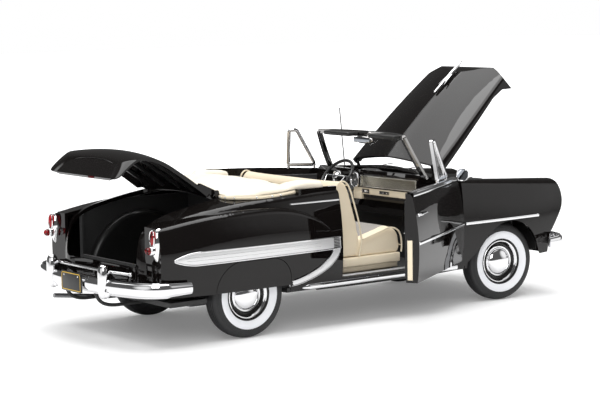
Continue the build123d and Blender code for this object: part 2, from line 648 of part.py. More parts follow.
def door_parts(name, side, outer):
    """Door with inner trim, bright mouldings, vent frame and pane, swung open."""
    panel = outer & door_prism(side)
    trim = box(DOOR_REAR_X + 2, DOOR_FRONT_LOW_X - 2, side * (DOOR_INNER_Y - 1.2), side * DOOR_INNER_Y,
               DOOR_SILL_Z + 2, 63)
    trim += box(DOOR_REAR_X + 18, DOOR_FRONT_LOW_X - 22, side * (DOOR_INNER_Y - 3.4), side * DOOR_INNER_Y, 46, 49)
    frame, pane = vent_frame(side)
    rail = box(DOOR_REAR_X + 1.0, DOOR_HINGE_X - 8.5, side * 44.8, side * 46.6, 65.0, 67.9) - panel
    frame += biggest(rail)
    frame = frame - panel - trim
    pane = pane - frame - panel
    handle = cyl_x(side * 51.8, 55.5, DOOR_REAR_X + 5, DOOR_REAR_X + 17, 0.8)
    handle += box(DOOR_REAR_X + 5.5, DOOR_REAR_X + 7.5, side * 45, side * 51.8, 55.0, 56.0) - panel
    handle += box(DOOR_REAR_X + 14.5, DOOR_REAR_X + 16.5, side * 45, side * 51.8, 55.0, 56.0) - panel
    spear = (closed_form(-SPEAR_T) - outer) & side_prism(
        [(DOOR_REAR_X, SPEAR_Z - 1), (DOOR_FRONT_LOW_X + 1, SPEAR_Z - 1), (DOOR_FRONT_LOW_X + 1, SPEAR_Z + 1),
         (DOOR_REAR_X, SPEAR_Z + 1)], side * 45, side * 60)
    bright = [frame, handle, spear]
    if side < 0:
        stalk = rod((DOOR_HINGE_X - 12, -46.5, 65.5), (DOOR_HINGE_X - 10, -53, 68.5), 0.7) - panel
        bright.append(biggest(stalk) + cyl_x(-53.4, 69.6, DOOR_HINGE_X - 12, DOOR_HINGE_X - 10, 3.0))
    hinge = (DOOR_HINGE_X, side * DOOR_HINGE_Y, 0)
    pieces = {"panel": panel, "trim": trim, "vent_glass": pane}
    pieces["brightwork"] = Compound(children=[s for shape in bright for s in shape.solids()])
    for piece, shape in pieces.items():
        save(f"{name}_door_{piece}", swing(shape, *hinge, (0, 0, -side), DOOR_OPEN))


# ---------------------------------------------------------------- windshield
def windshield_band(x_offset, thickness):
    """Curved, raked band between cowl and header; the offset runs inward from the outer face."""
    faces = []
    for half, x_end, x_mid, z in WINDSHIELD_ARCS:
        outer_arc = ThreePointArc((x_end - x_offset, -half), (x_mid - x_offset, 0), (x_end - x_offset, half))
        inner_x, inner_mid = x_end - x_offset - thickness, x_mid - x_offset - thickness
        inner_arc = ThreePointArc((inner_x, half), (inner_mid, 0), (inner_x, -half))
        ends = [Line((x_end - x_offset, half), (inner_x, half)), Line((inner_x, -half), (x_end - x_offset, -half))]
        faces.append(Plane.XY.offset(z) * make_face([outer_arc, ends[0], inner_arc, ends[1]]))
    return loft(faces)


def windshield_hole():
    """Front-view outline of the visible pane."""
    low, high = 67.6, WINDSHIELD_ARCS[1][3] - 2.6
    edges = [
        ThreePointArc((-37.0, low), (0, 71.6), (37.0, low)),
        Line((37.0, low), (33.6, high)),
        Line((33.6, high), (-33.6, high)),
        Line((-33.6, high), (-37.0, low)),
    ]
    return extrude(yz_plane(20) * make_face(edges), amount=50, dir=(1, 0, 0))


def windshield_parts(outer):
    """Bright frame and curved glass, standing on the cowl."""
    hole = windshield_hole()
    cowl = outer & box(20, 62, -50, 50, 50, 80)
    frame = windshield_band(0.0, 2.4) - hole - cowl
    frame = biggest(frame)
    save("windshield_frame", frame)
    save("windshield_glass", windshield_band(0.8, 0.7) & hole)
    save("header_fittings", header_fittings(frame))


def header_fittings(frame):
    """Sun visors and rear-view mirror under the windshield header."""
    x, z = WINDSHIELD_ARCS[1][2] - 3.2, WINDSHIELD_ARCS[1][3] - 0.4
    stem = rod((x + 1.0, 0, z - 0.6), (x - 4.0, 0, z - 3.0), 0.8)
    mirror_head = box(x - 5.2, x - 3.6, -7.0, 7.0, z - 5.4, z - 1.8)
    visors = [box(x - 7.2, x - 1.6, side * 9.0, side * 28.0, z - 0.9, z + 0.1) for side in SIDES.values()]
    pieces = [stem + mirror_head] + visors
    return Compound(children=[biggest(piece - frame) for piece in pieces])


# ---------------------------------------------------------------- interior
def tunnel_space(play=0.3):
    """Room that the floor tunnel takes under the seats."""
    half = TUNNEL_HALF + play
    return box(TUB_REAR_X, TUB_FRONT_X, -half, half, PAN_TOP_Z, PAN_TOP_Z + TUNNEL_H + 0.3 + play)


def interior_tub():
    """Carpeted floor pan with tunnel, firewall, quarter walls and rear bulkhead."""
    floor_z = PAN_TOP_Z + 0.05
    tub = box(TUB_REAR_X, TUB_FRONT_X, -TUB_HALF, TUB_HALF, floor_z, floor_z + 1.2)
    tub += box(TUB_FRONT_X - 1.2, TUB_FRONT_X, -TUB_HALF, TUB_HALF, floor_z, FIREWALL_TOP_Z)
    tub += box(TUB_REAR_X, TUB_REAR_X + TUB_WALL, -TUB_HALF, TUB_HALF, floor_z, TUB_TOP_Z + 1)
    tub += box(TUB_REAR_X, TUB_FRONT_X, -TUNNEL_HALF, TUNNEL_HALF, floor_z, floor_z + TUNNEL_H)
    for side in SIDES.values():
        tub += box(TUB_REAR_X, DOOR_REAR_X - PANEL_GAP, side * (TUB_HALF - TUB_WALL), side * TUB_HALF, floor_z, TUB_TOP_Z)
        tub -= hood_arm_slot(side, TUB_FRONT_X - 2.0, TUB_FRONT_X + 0.5, 56.5, FIREWALL_TOP_Z + 0.5)
    return tub


def padded_prism(outline, half, edge_r):
    """Side-view outline from door to door with its upper corners rounded, as upholstery is."""
    face = make_face(Polyline(*outline, close=True))
    low = min(z for _, z in outline)
    face = fillet(face.vertices().filter_by(lambda v: v.Y > low + 3), edge_r)
    return extrude(xz_plane(half) * face, amount=2 * half, dir=(0, -1, 0))


def front_seat():
    """Bench seat: cushion and raked back with a rolled top."""
    cushion = padded_prism([(-2.0, 25.5), (27.4, 25.5), (28.8, 31.0), (28.2, 39.8), (25.6, 43.2), (20.5, 44.2), (-2.0, 38.4)],
                           SEAT_HALF, 1.4)
    back = padded_prism([(-9.2, 25.5), (-1.0, 25.5), (2.9, 39.0), (1.0, 48.5), (-3.6, 64.0), (-6.6, 69.0), (-10.6, 69.6),
                         (-13.2, 66.4)], SEAT_HALF, 1.4)
    plinth = box(-8, 25, -SEAT_HALF + 3, SEAT_HALF - 3, PAN_TOP_Z + 1.25, 25.5) - tunnel_space()
    return cushion + back + plinth


def rear_seat():
    """Rear bench between the wheel housings."""
    cushion = padded_prism([(-38, 25.5), (-19, 25.5), (-18.2, 36.5), (-21, 38.5), (-38, 35.5)], REAR_SEAT_HALF, 1.2)
    back = padded_prism([(-45.5, 25.5), (-37.8, 25.5), (-37.8, 38), (-41.0, 62.0), (-43.0, 63.8), (-46.0, 63.0)],
                        REAR_SEAT_HALF, 0.8)
    plinth = box(-44, -21, -REAR_SEAT_HALF, REAR_SEAT_HALF, PAN_TOP_Z + 1.25, 25.5)
    return cushion + back + (plinth - tunnel_space())


def dashboard(room):
    """Dashboard: top pad that rises towards the seats, upright face and tucked foot, with room for the hood arms."""
    front = TUB_FRONT_X - 1.3
    profile = [(front, 46), (front, 64.6), (46.0, 66.8), (43.0, 68.2), (40.4, 68.2), (38.6, 66.6), (38.2, 60.5),
               (40.0, 53), (42.0, 49.5), (41.0, 46.5)]
    block = side_prism(profile, -DASH_HALF, DASH_HALF)
    pad_space = box(30, DASH_PAD_FRONT_X, -DASH_HALF, DASH_HALF, 55, 75)
    block = biggest(block & room) + biggest(block & pad_space)
    for side in SIDES.values():
        block -= hood_arm_slot(side, HOOD_HINGE_X - 2, front, 54.6, 61.6)
    return block


def gauges():
    """Two round instrument bezels on the dashboard face."""
    return [cyl_x(y, GAUGE_Z, 37.2, 38.9, GAUGE_R) for y in GAUGE_Y]


def steering_wheel_parts():
    """Two-spoke steering wheel on its raked column; the column itself stays with the car."""
    axis = (Vector(*COLUMN_FOOT) - Vector(*WHEEL_HUB)).normalized()
    hub = Vector(*WHEEL_HUB)
    plane = Plane(origin=hub, x_dir=(0, 1, 0), z_dir=-axis)
    rim = plane * Torus(STEERING_RIM_R, 0.75)
    spokes = plane * Box(2 * STEERING_RIM_R, 1.2, 0.8)
    spokes -= plane * Cylinder(0.95, 4)
    boss = plane * (Cylinder(2.0, 1.8) - Cylinder(0.95, 4))
    cap = plane * Pos(0, 0, 1.4) * Cylinder(2.0, 1.0)
    column = rod(tuple(hub), COLUMN_FOOT, 0.9)
    return rim + spokes + boss + cap, column


def boot_section(row):
    """One cross-section of the folded top's cover."""
    x, half, z_shoulder, z_crown = row
    edges = [
        Line((-half, BOOT_LOW_Z), (half, BOOT_LOW_Z)),
        Line((half, BOOT_LOW_Z), (half, z_shoulder)),
        ThreePointArc((half, z_shoulder), (0, z_crown), (-half, z_shoulder)),
        Line((-half, z_shoulder), (-half, BOOT_LOW_Z)),
    ]
    return yz_plane(x) * make_face(edges)


def wing_section(row, side):
    """One cross-section of the cover's wing beside the rear seat."""
    x, y_in, y_out, z_top = row
    middle = (y_in + y_out) / 2
    edges = [
        Line((side * y_in, BOOT_WING_LOW_Z), (side * y_out, BOOT_WING_LOW_Z)),
        Line((side * y_out, BOOT_WING_LOW_Z), (side * y_out, z_top - 2.2)),
        ThreePointArc((side * y_out, z_top - 2.2), (side * middle, z_top), (side * y_in, z_top - 2.6)),
        Line((side * y_in, z_top - 2.6), (side * y_in, BOOT_WING_LOW_Z)),
    ]
    return yz_plane(x) * make_face(edges)


def top_boot():
    """Cover over the folded top: crowned on the rear deck, with a wing forward on each side of the rear seat."""
    deck = (closed_form(-0.08) & box(-90, 0, -60, 60, 40, 90)) - cabin_opening(0.2)
    boot = loft([boot_section(row) for row in BOOT_STATIONS], ruled=True) - deck
    for side in SIDES.values():
        boot += loft([wing_section(row, side) for row in BOOT_WING], ruled=True) - deck
    return biggest(boot)


def trunk_tub():
    """Open-top trunk liner between the rear wheels."""
    x0, x1 = -113.0, TUB_REAR_X - 1.0
    half = 33.4
    outer_box = box(x0, x1, -half, half, TRUNK_FLOOR_Z, 61.5)
    inner_box = box(x0 + 1.2, x1 - 1.2, -half + 1.2, half - 1.2, TRUNK_FLOOR_Z + 1.2, 70)
    lip_cut = box(x0 - 1, x0 + 3, -LID_HALF, LID_HALF, LID_LIP_Z - 1, 80)
    return outer_box - inner_box - lip_cut


# ---------------------------------------------------------------- chassis
def chassis_pan():
    """Flat underside with wheel openings, frame rails and two threaded bosses for a display base."""
    half = DOOR_INNER_Y - 0.3
    pan = box(-112, 119, -half, half, PAN_TOP_Z - PAN_T, PAN_TOP_Z)
    for side in SIDES.values():
        pan -= box(FRONT_AXLE_X - 27, FRONT_AXLE_X + 27, side * 25.5, side * 60, 0, 40)
        pan -= box(REAR_AXLE_X - 23, REAR_AXLE_X + 23, side * 34.5, side * 60, 0, 40)
        pan += box(-40, 62, side * 30, side * 33.5, PAN_TOP_Z - PAN_T - 1.8, PAN_TOP_Z - PAN_T)
    pan += box(REAR_AXLE_X - 5.4, REAR_AXLE_X + 5.4, -34.4, 34.4, PAN_TOP_Z, TRUNK_FLOOR_Z - 0.1)
    pan -= box(REAR_AXLE_X - 4.0, REAR_AXLE_X + 4.0, -60, 60, 0, TRUNK_FLOOR_Z - 1.2)
    for x in BOSS_X:
        pan += cyl_z(x, 0, PAN_TOP_Z - PAN_T - 2.4, PAN_TOP_Z, BOSS_R)
        pan -= cyl_z(x, 0, 0, PAN_TOP_Z - 0.8, BOSS_BORE_R)
    return pan


def front_suspension():
    """Crossmember with lower arms, kingpins and upper arms on both sides."""
    z = TYRE_R
    pan_low = PAN_TOP_Z - PAN_T
    beam = box(FRONT_AXLE_X - 2.5, FRONT_AXLE_X + 2.5, -KINGPIN_Y, KINGPIN_Y, z - 6.6, z - 4.6)
    beam += box(FRONT_AXLE_X - 5.0, FRONT_AXLE_X + 5.0, -14, 14, z - 6.6, pan_low)
    for side in SIDES.values():
        beam += cyl_z(FRONT_AXLE_X, side * KINGPIN_Y, z - 6.6, z - 4.6, 2.5)
        beam += cyl_z(FRONT_AXLE_X, side * KINGPIN_Y, z - 4.6, z + 4.6, KINGPIN_R)
        beam += cyl_z(FRONT_AXLE_X, side * KINGPIN_Y, z + 4.6, z + 5.8, 2.5)
        beam += box(FRONT_AXLE_X - 2.0, FRONT_AXLE_X + 2.0, side * 20, side * KINGPIN_Y, z + 4.6, z + 5.8)
        beam += box(FRONT_AXLE_X - 2.0, FRONT_AXLE_X + 2.0, side * 20, side * 22, PAN_TOP_Z, z + 5.8)
    return beam


def knuckle(side):
    """Steering knuckle: kingpin barrel and stub axle, turned to the resting steer angle."""
    z = TYRE_R
    y = side * KINGPIN_Y
    body = cyl_z(FRONT_AXLE_X, y, z - 4.4, z + 4.4, KNUCKLE_R)
    body += cyl_y(FRONT_AXLE_X, z, y, side * (FRONT_TRACK / 2 - HUB_DEPTH - 0.3), 2.2)
    body += cyl_y(FRONT_AXLE_X, z, y, side * (FRONT_TRACK / 2 + STUB_REACH), AXLE_R)
    body -= cyl_z(FRONT_AXLE_X, y, z - 6, z + 6, KINGPIN_BORE_R)
    return swing(body, FRONT_AXLE_X, y, 0, (0, 0, 1), -STEER_REST)


def rear_axle():
    """Live rear axle with differential and a leaf spring on each side, hung from the pan."""
    z = TYRE_R
    pan_low = PAN_TOP_Z - PAN_T
    shoulder = REAR_TRACK / 2 - HUB_DEPTH - 0.3
    axle = cyl_y(REAR_AXLE_X, z, -shoulder, shoulder, 2.2)
    axle += cyl_y(REAR_AXLE_X, z, -(REAR_TRACK / 2 + STUB_REACH), REAR_TRACK / 2 + STUB_REACH, AXLE_R)
    axle += Pos(REAR_AXLE_X, 0, z) * Rot(90, 0, 0) * Cylinder(3.8, 9)
    for side in SIDES.values():
        y0, y1 = side * 28.5, side * 31.5
        axle += box(REAR_AXLE_X - 24, REAR_AXLE_X + 22, y0, y1, z - 4.4, z - 3.2)
        axle += box(REAR_AXLE_X - 3, REAR_AXLE_X + 3, y0, y1, z - 3.2, z)
        axle += box(REAR_AXLE_X - 24, REAR_AXLE_X - 21, y0, y1, z - 3.2, pan_low)
        axle += box(REAR_AXLE_X + 19, REAR_AXLE_X + 22, y0, y1, z - 3.2, pan_low)
    return axle


def exhaust():
    """Exhaust pipe, muffler and tail pipe under the pan."""
    z = 15.6
    pan_low = PAN_TOP_Z - PAN_T
    pipe = rod((60, EXHAUST_Y, z), (-104, EXHAUST_Y, z), 1.1)
    pipe += Sphere(1.1).moved(Location((-104, EXHAUST_Y, z)))
    pipe += rod((-104, EXHAUST_Y, z), (-133.5, EXHAUST_Y + 2.0, 19.0), 1.1)
    muffler = box(-32, 2, EXHAUST_Y - 5, EXHAUST_Y + 5, z - 2.2, pan_low)
    hanger = box(-103, -100, EXHAUST_Y - 0.6, EXHAUST_Y + 0.6, z, pan_low)
    front_hanger = box(52, 55, EXHAUST_Y - 0.6, EXHAUST_Y + 0.6, z, pan_low)
    return pipe + muffler + hanger + front_hanger


def engine():
    """Inline engine as one plain block with its rocker cover, and the gearbox behind."""
    block = box(66, 112, -8, 8, PAN_TOP_Z, 46)
    cover = box(68, 110, -5, 5, 46, 53)
    return block + cover


def air_cleaner():
    """Round air cleaner on its neck, at the engine's right."""
    x, y = AIR_CLEANER
    drum = cyl_z(x, y, 54.0, 60.8, 9.5)
    neck = cyl_z(x, y, 53.0, 54.0, 4.0)
    return drum + neck


def radiator():
    """Radiator behind the grille, on the chassis pan."""
    return box(115.6, 118.6, -20, 20, PAN_TOP_Z, 56)


def inner_fenders():
    """Engine-bay side walls that step out over the front wheels."""
    parts = []
    for side in SIDES.values():
        wall = box(66, 119, side * 24.2, side * 25.4, PAN_TOP_Z, 44.2)
        wall -= box(FRONT_AXLE_X - 3.5, FRONT_AXLE_X + 3.5, side * 20, side * 30, PAN_TOP_Z, TYRE_R + 7)
        shelf = box(66, 119, side * 24.2, side * 44.5, 43.0, 44.2)
        parts.append(wall + shelf)
    return Compound(children=parts)


# ---------------------------------------------------------------- brightwork on the body
def bumper_bar(points, radius, low, high, thickness):
    """Wrap-around face bar from a plan path, with rounded top and bottom edges."""
    path = FilletPolyline(*points, radius=radius)
    face = Plane.XY.offset(low) * trace(path, thickness)
    return extrude(face, amount=high - low)


def rear_bumper():
    """Rear bumper: wrap-around bar, two upright guards and frame irons."""
    points = [(-105.6, 52.4), (-127.0, 51.2), (-136.0, 22.0), (-136.0, -22.0), (-127.0, -51.2), (-105.6, -52.4)]
    bar = bumper_bar(points, [9, 14, 14, 9], 25.0, 32.0, 2.2)
    for side in SIDES.values():
        y = side * GUARD_Y
        bar += cyl_z(-134.2, y, 22.9, 36.5, GUARD_R) + Sphere(GUARD_R).moved(Location((-134.2, y, 36.5)))
        bar += box(-136, -108, side * 12, side * 15, PAN_TOP_Z - PAN_T - 2.2, PAN_TOP_Z - PAN_T)
        bar += box(-136, -133.6, side * 12, side * 15, PAN_TOP_Z - PAN_T - 2.2, 26)
    rail = [(-126.4, -34.0, 34.6), (-131.8, -24.0, 35.4), (-132.2, 0.0, 35.5), (-131.8, 24.0, 35.4), (-126.4, 34.0, 34.6)]
    bar += Sphere(RAIL_R).moved(Location(rail[0]))
    for start, end in zip(rail, rail[1:]):
        bar += rod(start, end, RAIL_R) + Sphere(RAIL_R).moved(Location(end))
    return bar


def front_bumper():
    """Front bumper: wrap-around bar, two guards and frame irons."""
    points = [(125.0, 51.0), (132.0, 48.0), (136.85, 24.0), (136.85, -24.0), (132.0, -48.0), (125.0, -51.0)]
    bar = bumper_bar(points, [4, 14, 14, 4], 24.5, 32.0, 2.2)
    for side in SIDES.values():
        y = side * GUARD_Y
        bar += cyl_z(134.6, y, 23.5, 37.0, GUARD_R) + Sphere(GUARD_R).moved(Location((134.6, y, 37.0)))
        bar += box(112, 136.5, side * 12, side * 15, PAN_TOP_Z - PAN_T - 2.2, PAN_TOP_Z - PAN_T)
        bar += box(134.2, 136.5, side * 12, side * 15, PAN_TOP_Z - PAN_T - 2.2, 25.5)
    return bar


def grille():
    """Grille: surround bar, three teeth and a crossbar, ahead of the radiator."""
    bar = box(121.0, 125.0, -36.4, 36.4, 32.5, 35.0)
    bar += box(121.0, 123.6, -36.4, 36.4, 26.4, 28.0)
    bar += box(121.0, 123.6, -36.4, 36.4, 39.4, 41.2)
    for y in (-14.0, 0.0, 14.0):
        bar += box(121.0, 126.4, y - 1.6, y + 1.6, 28.0, 39.4)
    for side in SIDES.values():
        bar += box(118.7, 121.2, side * 12, side * 16, 26.4, 41.2)
    return bar


def headlamps(outer):
    """Headlamp bezels and lenses in the fender fronts."""
    bezels, lenses = [], []
    for side in SIDES.values():
        y, z = side * HEADLAMP_Y, HEADLAMP_Z
        ring = cyl_x(y, z, 128.0, 135.6, 6.6) - cyl_x(y, z, 120, 137, 5.3)
        bezels.append(biggest(ring - outer))
        lens = cyl_x(y, z, 128.0, 134.9, 5.3) - outer
        lenses.append(biggest(lens))
    return Compound(children=bezels), Compound(children=lenses)


def tail_lamps(outer):
    """Tail-lamp housings and lenses on the fender ends."""
    housings, lenses = [], []
    for side in SIDES.values():
        y = side * TAIL_LAMP_Y
        plane = Plane(origin=(-114, y, 48.4), x_dir=(0, 1, 0), z_dir=(-1, 0, 0))
        body = extrude(plane * Ellipse(2.9, 8.4), amount=8.4)
        body = fillet(body.edges().sort_by(Axis.X)[0], 0.6) - outer
        body = biggest(body)
        lens_plane = Plane(origin=(-122.4, y, 51.6), x_dir=(0, 1, 0), z_dir=(-1, 0, 0))
        lens = extrude(lens_plane * Ellipse(1.3, 3.6), amount=0.9)
        ball = cyl_x(y, 46.2, -125.8, -122.4, 1.7)
        ball = fillet(ball.edges().group_by(Axis.X)[0], 1.3)
        housings.append(body)
        lenses += [lens, ball]
    return Compound(children=housings), Compound(children=lenses)


def side_trim(outer):
    """Bright side mouldings: fender spears, quarter spears with their front sweep, rocker strips."""
    band = closed_form(-SPEAR_T) - outer
    pieces = []
    for side in SIDES.values():
        y0, y1 = side * 44, side * 60
        front = side_prism([(DOOR_FRONT_LOW_X + 2.6, SPEAR_Z - 1), (114, SPEAR_Z - 0.9), (114.6, SPEAR_Z),
                            (114, SPEAR_Z + 0.9), (DOOR_FRONT_LOW_X + 2.6, SPEAR_Z + 1)], y0, y1)
        plane = xz_plane(max(y0, y1))
        spear = [
            Line((QUARTER_FRONT_X, 38.0), (QUARTER_FRONT_X, 44.6)),
            Line((QUARTER_FRONT_X, 44.6), (-105.0, 43.9)),
            ThreePointArc((-105.0, 43.9), (-113.4, 41.0), (-108.0, 38.2)),
            Line((-108.0, 38.2), (QUARTER_FRONT_X, 38.0)),
        ]
        sweep_edges = [
            Line((QUARTER_FRONT_X - 5.0, 38.0), (QUARTER_FRONT_X, 38.0)),
            ThreePointArc((QUARTER_FRONT_X, 38.0), (-32.0, 27.4), (-50.0, 22.9)),
            Line((-50.0, 22.9), (-49.2, 25.2)),
            ThreePointArc((-49.2, 25.2), (-35.6, 29.6), (QUARTER_FRONT_X - 5.0, 38.0)),
        ]
        quarter = extrude(plane * make_face(spear), amount=16, dir=(0, -1, 0))
        quarter += extrude(plane * make_face(sweep_edges), amount=16, dir=(0, -1, 0))
        belt = side_prism([(-46.0, 61.2), (-44.8, 60.9), (DOOR_REAR_X - 0.5, 60.9), (DOOR_REAR_X - 0.5, 61.9), (-44.8, 61.9)],
                          y0, y1)
        for prism in (front, quarter, belt):
            pieces += (band & prism).solids()
    return Compound(children=pieces)


def rocker_strips(outer):
    """Bright strip along each sill, below the door."""
    pieces = []
    for side in SIDES.values():
        strip = box(-41.5, 56.0, side * 48, side * 51.2, SILL_Z + 1.2, SILL_Z + 3.8) - outer
        pieces.append(biggest(strip))
    return Compound(children=pieces)


def rear_skirt(outer):
    """Covers over the upper half of the rear wheels."""
    solids = []
    for side in SIDES.values():
        solids += (outer & skirt_prism(side)).solids()
    return Compound(children=solids)


# ---------------------------------------------------------------- wheels
def tyre_profile():
    """Tyre cross-section: axis along Y, closed against the rim."""
    half = TYRE_W / 2
    edges = [
        Line((RIM_R, -half * 0.72), (RIM_R, half * 0.72)),
        ThreePointArc((RIM_R, half * 0.72), (RIM_R + 4.2, half), (TYRE_R - 1.4, half * 0.80)),
        ThreePointArc((TYRE_R - 1.4, half * 0.80), (TYRE_R, 0), (TYRE_R - 1.4, -half * 0.80)),
        ThreePointArc((TYRE_R - 1.4, -half * 0.80), (RIM_R + 4.2, -half), (RIM_R, -half * 0.72)),
    ]
    return make_face(edges)


def wheel_profile():
    """Wheel disc, rim and domed hub cap cross-section (radius, outward distance), open behind."""
    half = TYRE_W / 2
    rim_edge = half * 0.72
    edges = [
        Line((WHEEL_BORE_R, -HUB_DEPTH), (WHEEL_BORE_R, 2.6)),
        Line((WHEEL_BORE_R, 2.6), (0, 2.6)),
        Line((0, 2.6), (0, 4.6)),
        ThreePointArc((0, 4.6), (4.6, 3.7), (7.6, 1.6)),
        Line((7.6, 1.6), (8.4, 1.0)),
        Line((8.4, 1.0), (9.6, 2.6)),
        Line((9.6, 2.6), (RIM_R, rim_edge)),
        Line((RIM_R, rim_edge), (RIM_R, -rim_edge)),
        Line((RIM_R, -rim_edge), (RIM_R - 0.9, -rim_edge)),
        Line((RIM_R - 0.9, -rim_edge), (RIM_R - 1.3, -0.4)),
        Line((RIM_R - 1.3, -0.4), (3.4, -0.4)),
        Line((3.4, -0.4), (3.0, -HUB_DEPTH)),
        Line((3.0, -HUB_DEPTH), (WHEEL_BORE_R, -HUB_DEPTH)),
    ]
    return make_face(edges)


def save_wheel(name, x, y, side, steer):
    """Tyre and wheel of one corner; the profiles turn about Y at the wheel's centre."""
    place = Pos(x, y, TYRE_R)
    for piece, profile in (("tyre", tyre_profile()), ("wheel", wheel_profile())):
        solid = revolve(profile, Axis.Y)
        if side < 0:
            solid = mirror(solid, Plane.XZ)
        solid = place * solid
        if steer:
            solid = swing(solid, x, side * KINGPIN_Y, 0, (0, 0, 1), -STEER_REST)
        save(f"{name}_{piece}", solid)


def antenna():
    """Whip antenna on the left front fender."""
    x, y = ANTENNA
    foot = cyl_z(x, y, 60.0, 64.8, 1.0)
    return foot + rod((x, y, 64.0), (x - 3.5, y, 98.5), 0.35)


# ---------------------------------------------------------------- build
outer = closed_form()
skin = outer - closed_form(WALL, 8)
room = closed_form(WALL + LINING_PLAY, 8)
shell = body_shell(skin, outer)
save("body_shell", shell)
hood_parts()
trunk_parts(skin)
for name, side in SIDES.items():
    door_parts(name, side, outer)
windshield_parts(outer)
save("interior_tub", interior_tub() & room)
save("front_seat", front_seat())
save("rear_seat", rear_seat())
steering, column = steering_wheel_parts()
dash = dashboard(room) - column
save("dashboard", dash)
save("steering_wheel", steering)
save("gauges", Compound(children=[(dial - dash).solids()[0] for dial in gauges()]))
save("steering_column", column)
save("top_boot", top_boot())
save("trunk_tub", trunk_tub() & room)
save("chassis_pan", chassis_pan())
save("front_suspension", front_suspension())
save("rear_axle", rear_axle())
save("exhaust", exhaust())
save("engine", engine())
save("air_cleaner", air_cleaner())
save("radiator", radiator())
save("inner_fenders", inner_fenders())
save("rear_bumper", rear_bumper())
save("front_bumper", front_bumper())
save("grille", grille() - shell)
bezels, lenses = headlamps(outer)
save("headlamp_bezels", bezels)
save("headlamp_lenses", lenses)
housings, lenses = tail_lamps(outer)
save("tail_lamp_housings", housings)
save("tail_lamp_lenses", lenses)
save("side_trim", side_trim(outer))
save("rocker_strips", rocker_strips(outer))
save("rear_skirts", rear_skirt(outer))
save("licence_plate", box(-137.95, -137.1, -9, 9, 24.2, 33.4))
save("antenna", antenna() - shell)
for side_name, side in SIDES.items():
    save(f"front_{side_name}_knuckle", knuckle(side))
    save_wheel(f"front_{side_name}", FRONT_AXLE_X, side * FRONT_TRACK / 2, side, True)
    save_wheel(f"rear_{side_name}", REAR_AXLE_X, side * REAR_TRACK / 2, side, False)
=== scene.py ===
"""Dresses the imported 1:18 convertible: finishes, modelled soft and bright pieces, studio and camera."""
import json
import logging
import math
from dataclasses import dataclass
from enum import Enum
from typing import Callable, Sequence

import bmesh
import bpy
from mathutils import Matrix, Vector
from mathutils.bvhtree import BVHTree


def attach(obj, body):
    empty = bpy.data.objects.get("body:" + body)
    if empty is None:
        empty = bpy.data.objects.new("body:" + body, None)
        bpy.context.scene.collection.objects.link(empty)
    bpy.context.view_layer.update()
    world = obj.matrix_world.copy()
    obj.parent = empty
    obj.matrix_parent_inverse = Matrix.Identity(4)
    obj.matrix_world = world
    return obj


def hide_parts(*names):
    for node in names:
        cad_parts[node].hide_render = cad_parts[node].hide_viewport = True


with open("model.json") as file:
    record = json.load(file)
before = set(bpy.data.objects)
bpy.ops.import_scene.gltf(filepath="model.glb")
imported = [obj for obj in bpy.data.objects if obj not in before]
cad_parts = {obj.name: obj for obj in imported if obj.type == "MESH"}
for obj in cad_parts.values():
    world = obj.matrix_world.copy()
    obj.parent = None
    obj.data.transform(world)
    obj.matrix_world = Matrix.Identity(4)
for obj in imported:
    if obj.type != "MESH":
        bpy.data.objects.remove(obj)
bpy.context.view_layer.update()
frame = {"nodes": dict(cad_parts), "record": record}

MM = 0.001
LOG = logging.getLogger("convertible")
Colour = tuple[float, float, float]
Point = tuple[float, float, float]


# ------------------------------------------------------------------ shader groups
class GroupName(Enum):
    """Shader node groups that several finishes share."""

    ORANGE_PEEL = "enamel_orange_peel"
    DUST = "settled_dust"
    GRAIN = "fine_grain"


def new_group(name: GroupName, inputs: Sequence[tuple[str, str, float]], outputs: Sequence[tuple[str, str]]):
    """Makes an empty shader node group with named sockets.

    Args:
        name: which shared group this is.
        inputs: socket name, socket type and default of each input.
        outputs: socket name and socket type of each output.

    Returns:
        The node tree with its group input and output nodes.
    """
    tree = bpy.data.node_groups.new(name.value, "ShaderNodeTree")
    for label, kind, default in inputs:
        socket = tree.interface.new_socket(label, in_out="INPUT", socket_type=kind)
        socket.default_value = default
    for label, kind in outputs:
        tree.interface.new_socket(label, in_out="OUTPUT", socket_type=kind)
    return tree, tree.nodes.new("NodeGroupInput"), tree.nodes.new("NodeGroupOutput")


def shared_group(name: GroupName) -> bpy.types.NodeTree:
    """Returns a shared group, building it on first use."""
    found = bpy.data.node_groups.get(name.value)
    return found if found else GROUP_BUILDERS[name]()


def build_grain_group() -> bpy.types.NodeTree:
    """Fine two-octave grain: a height for bump and a roughness shift around a base value.

    Returns:
        The node tree.
    """
    tree, source, sink = new_group(
        GroupName.GRAIN,
        [("Scale", "NodeSocketFloat", 900.0), ("Roughness", "NodeSocketFloat", 0.4),
         ("Spread", "NodeSocketFloat", 0.05)],
        [("Height", "NodeSocketFloat"), ("Roughness", "NodeSocketFloat")],
    )
    place = tree.nodes.new("ShaderNodeTexCoord")
    noise = tree.nodes.new("ShaderNodeTexNoise")
    noise.inputs["Detail"].default_value = 3.0
    tree.links.new(place.outputs["Object"], noise.inputs["Vector"])
    tree.links.new(source.outputs["Scale"], noise.inputs["Scale"])
    centred = math_node(tree, "SUBTRACT", noise.outputs["Fac"], 0.5)
    spread = math_node(tree, "MULTIPLY", centred, source.outputs["Spread"])
    rough = math_node(tree, "ADD", spread, source.outputs["Roughness"])
    tree.links.new(noise.outputs["Fac"], sink.inputs["Height"])
    tree.links.new(rough, sink.inputs["Roughness"])
    return tree


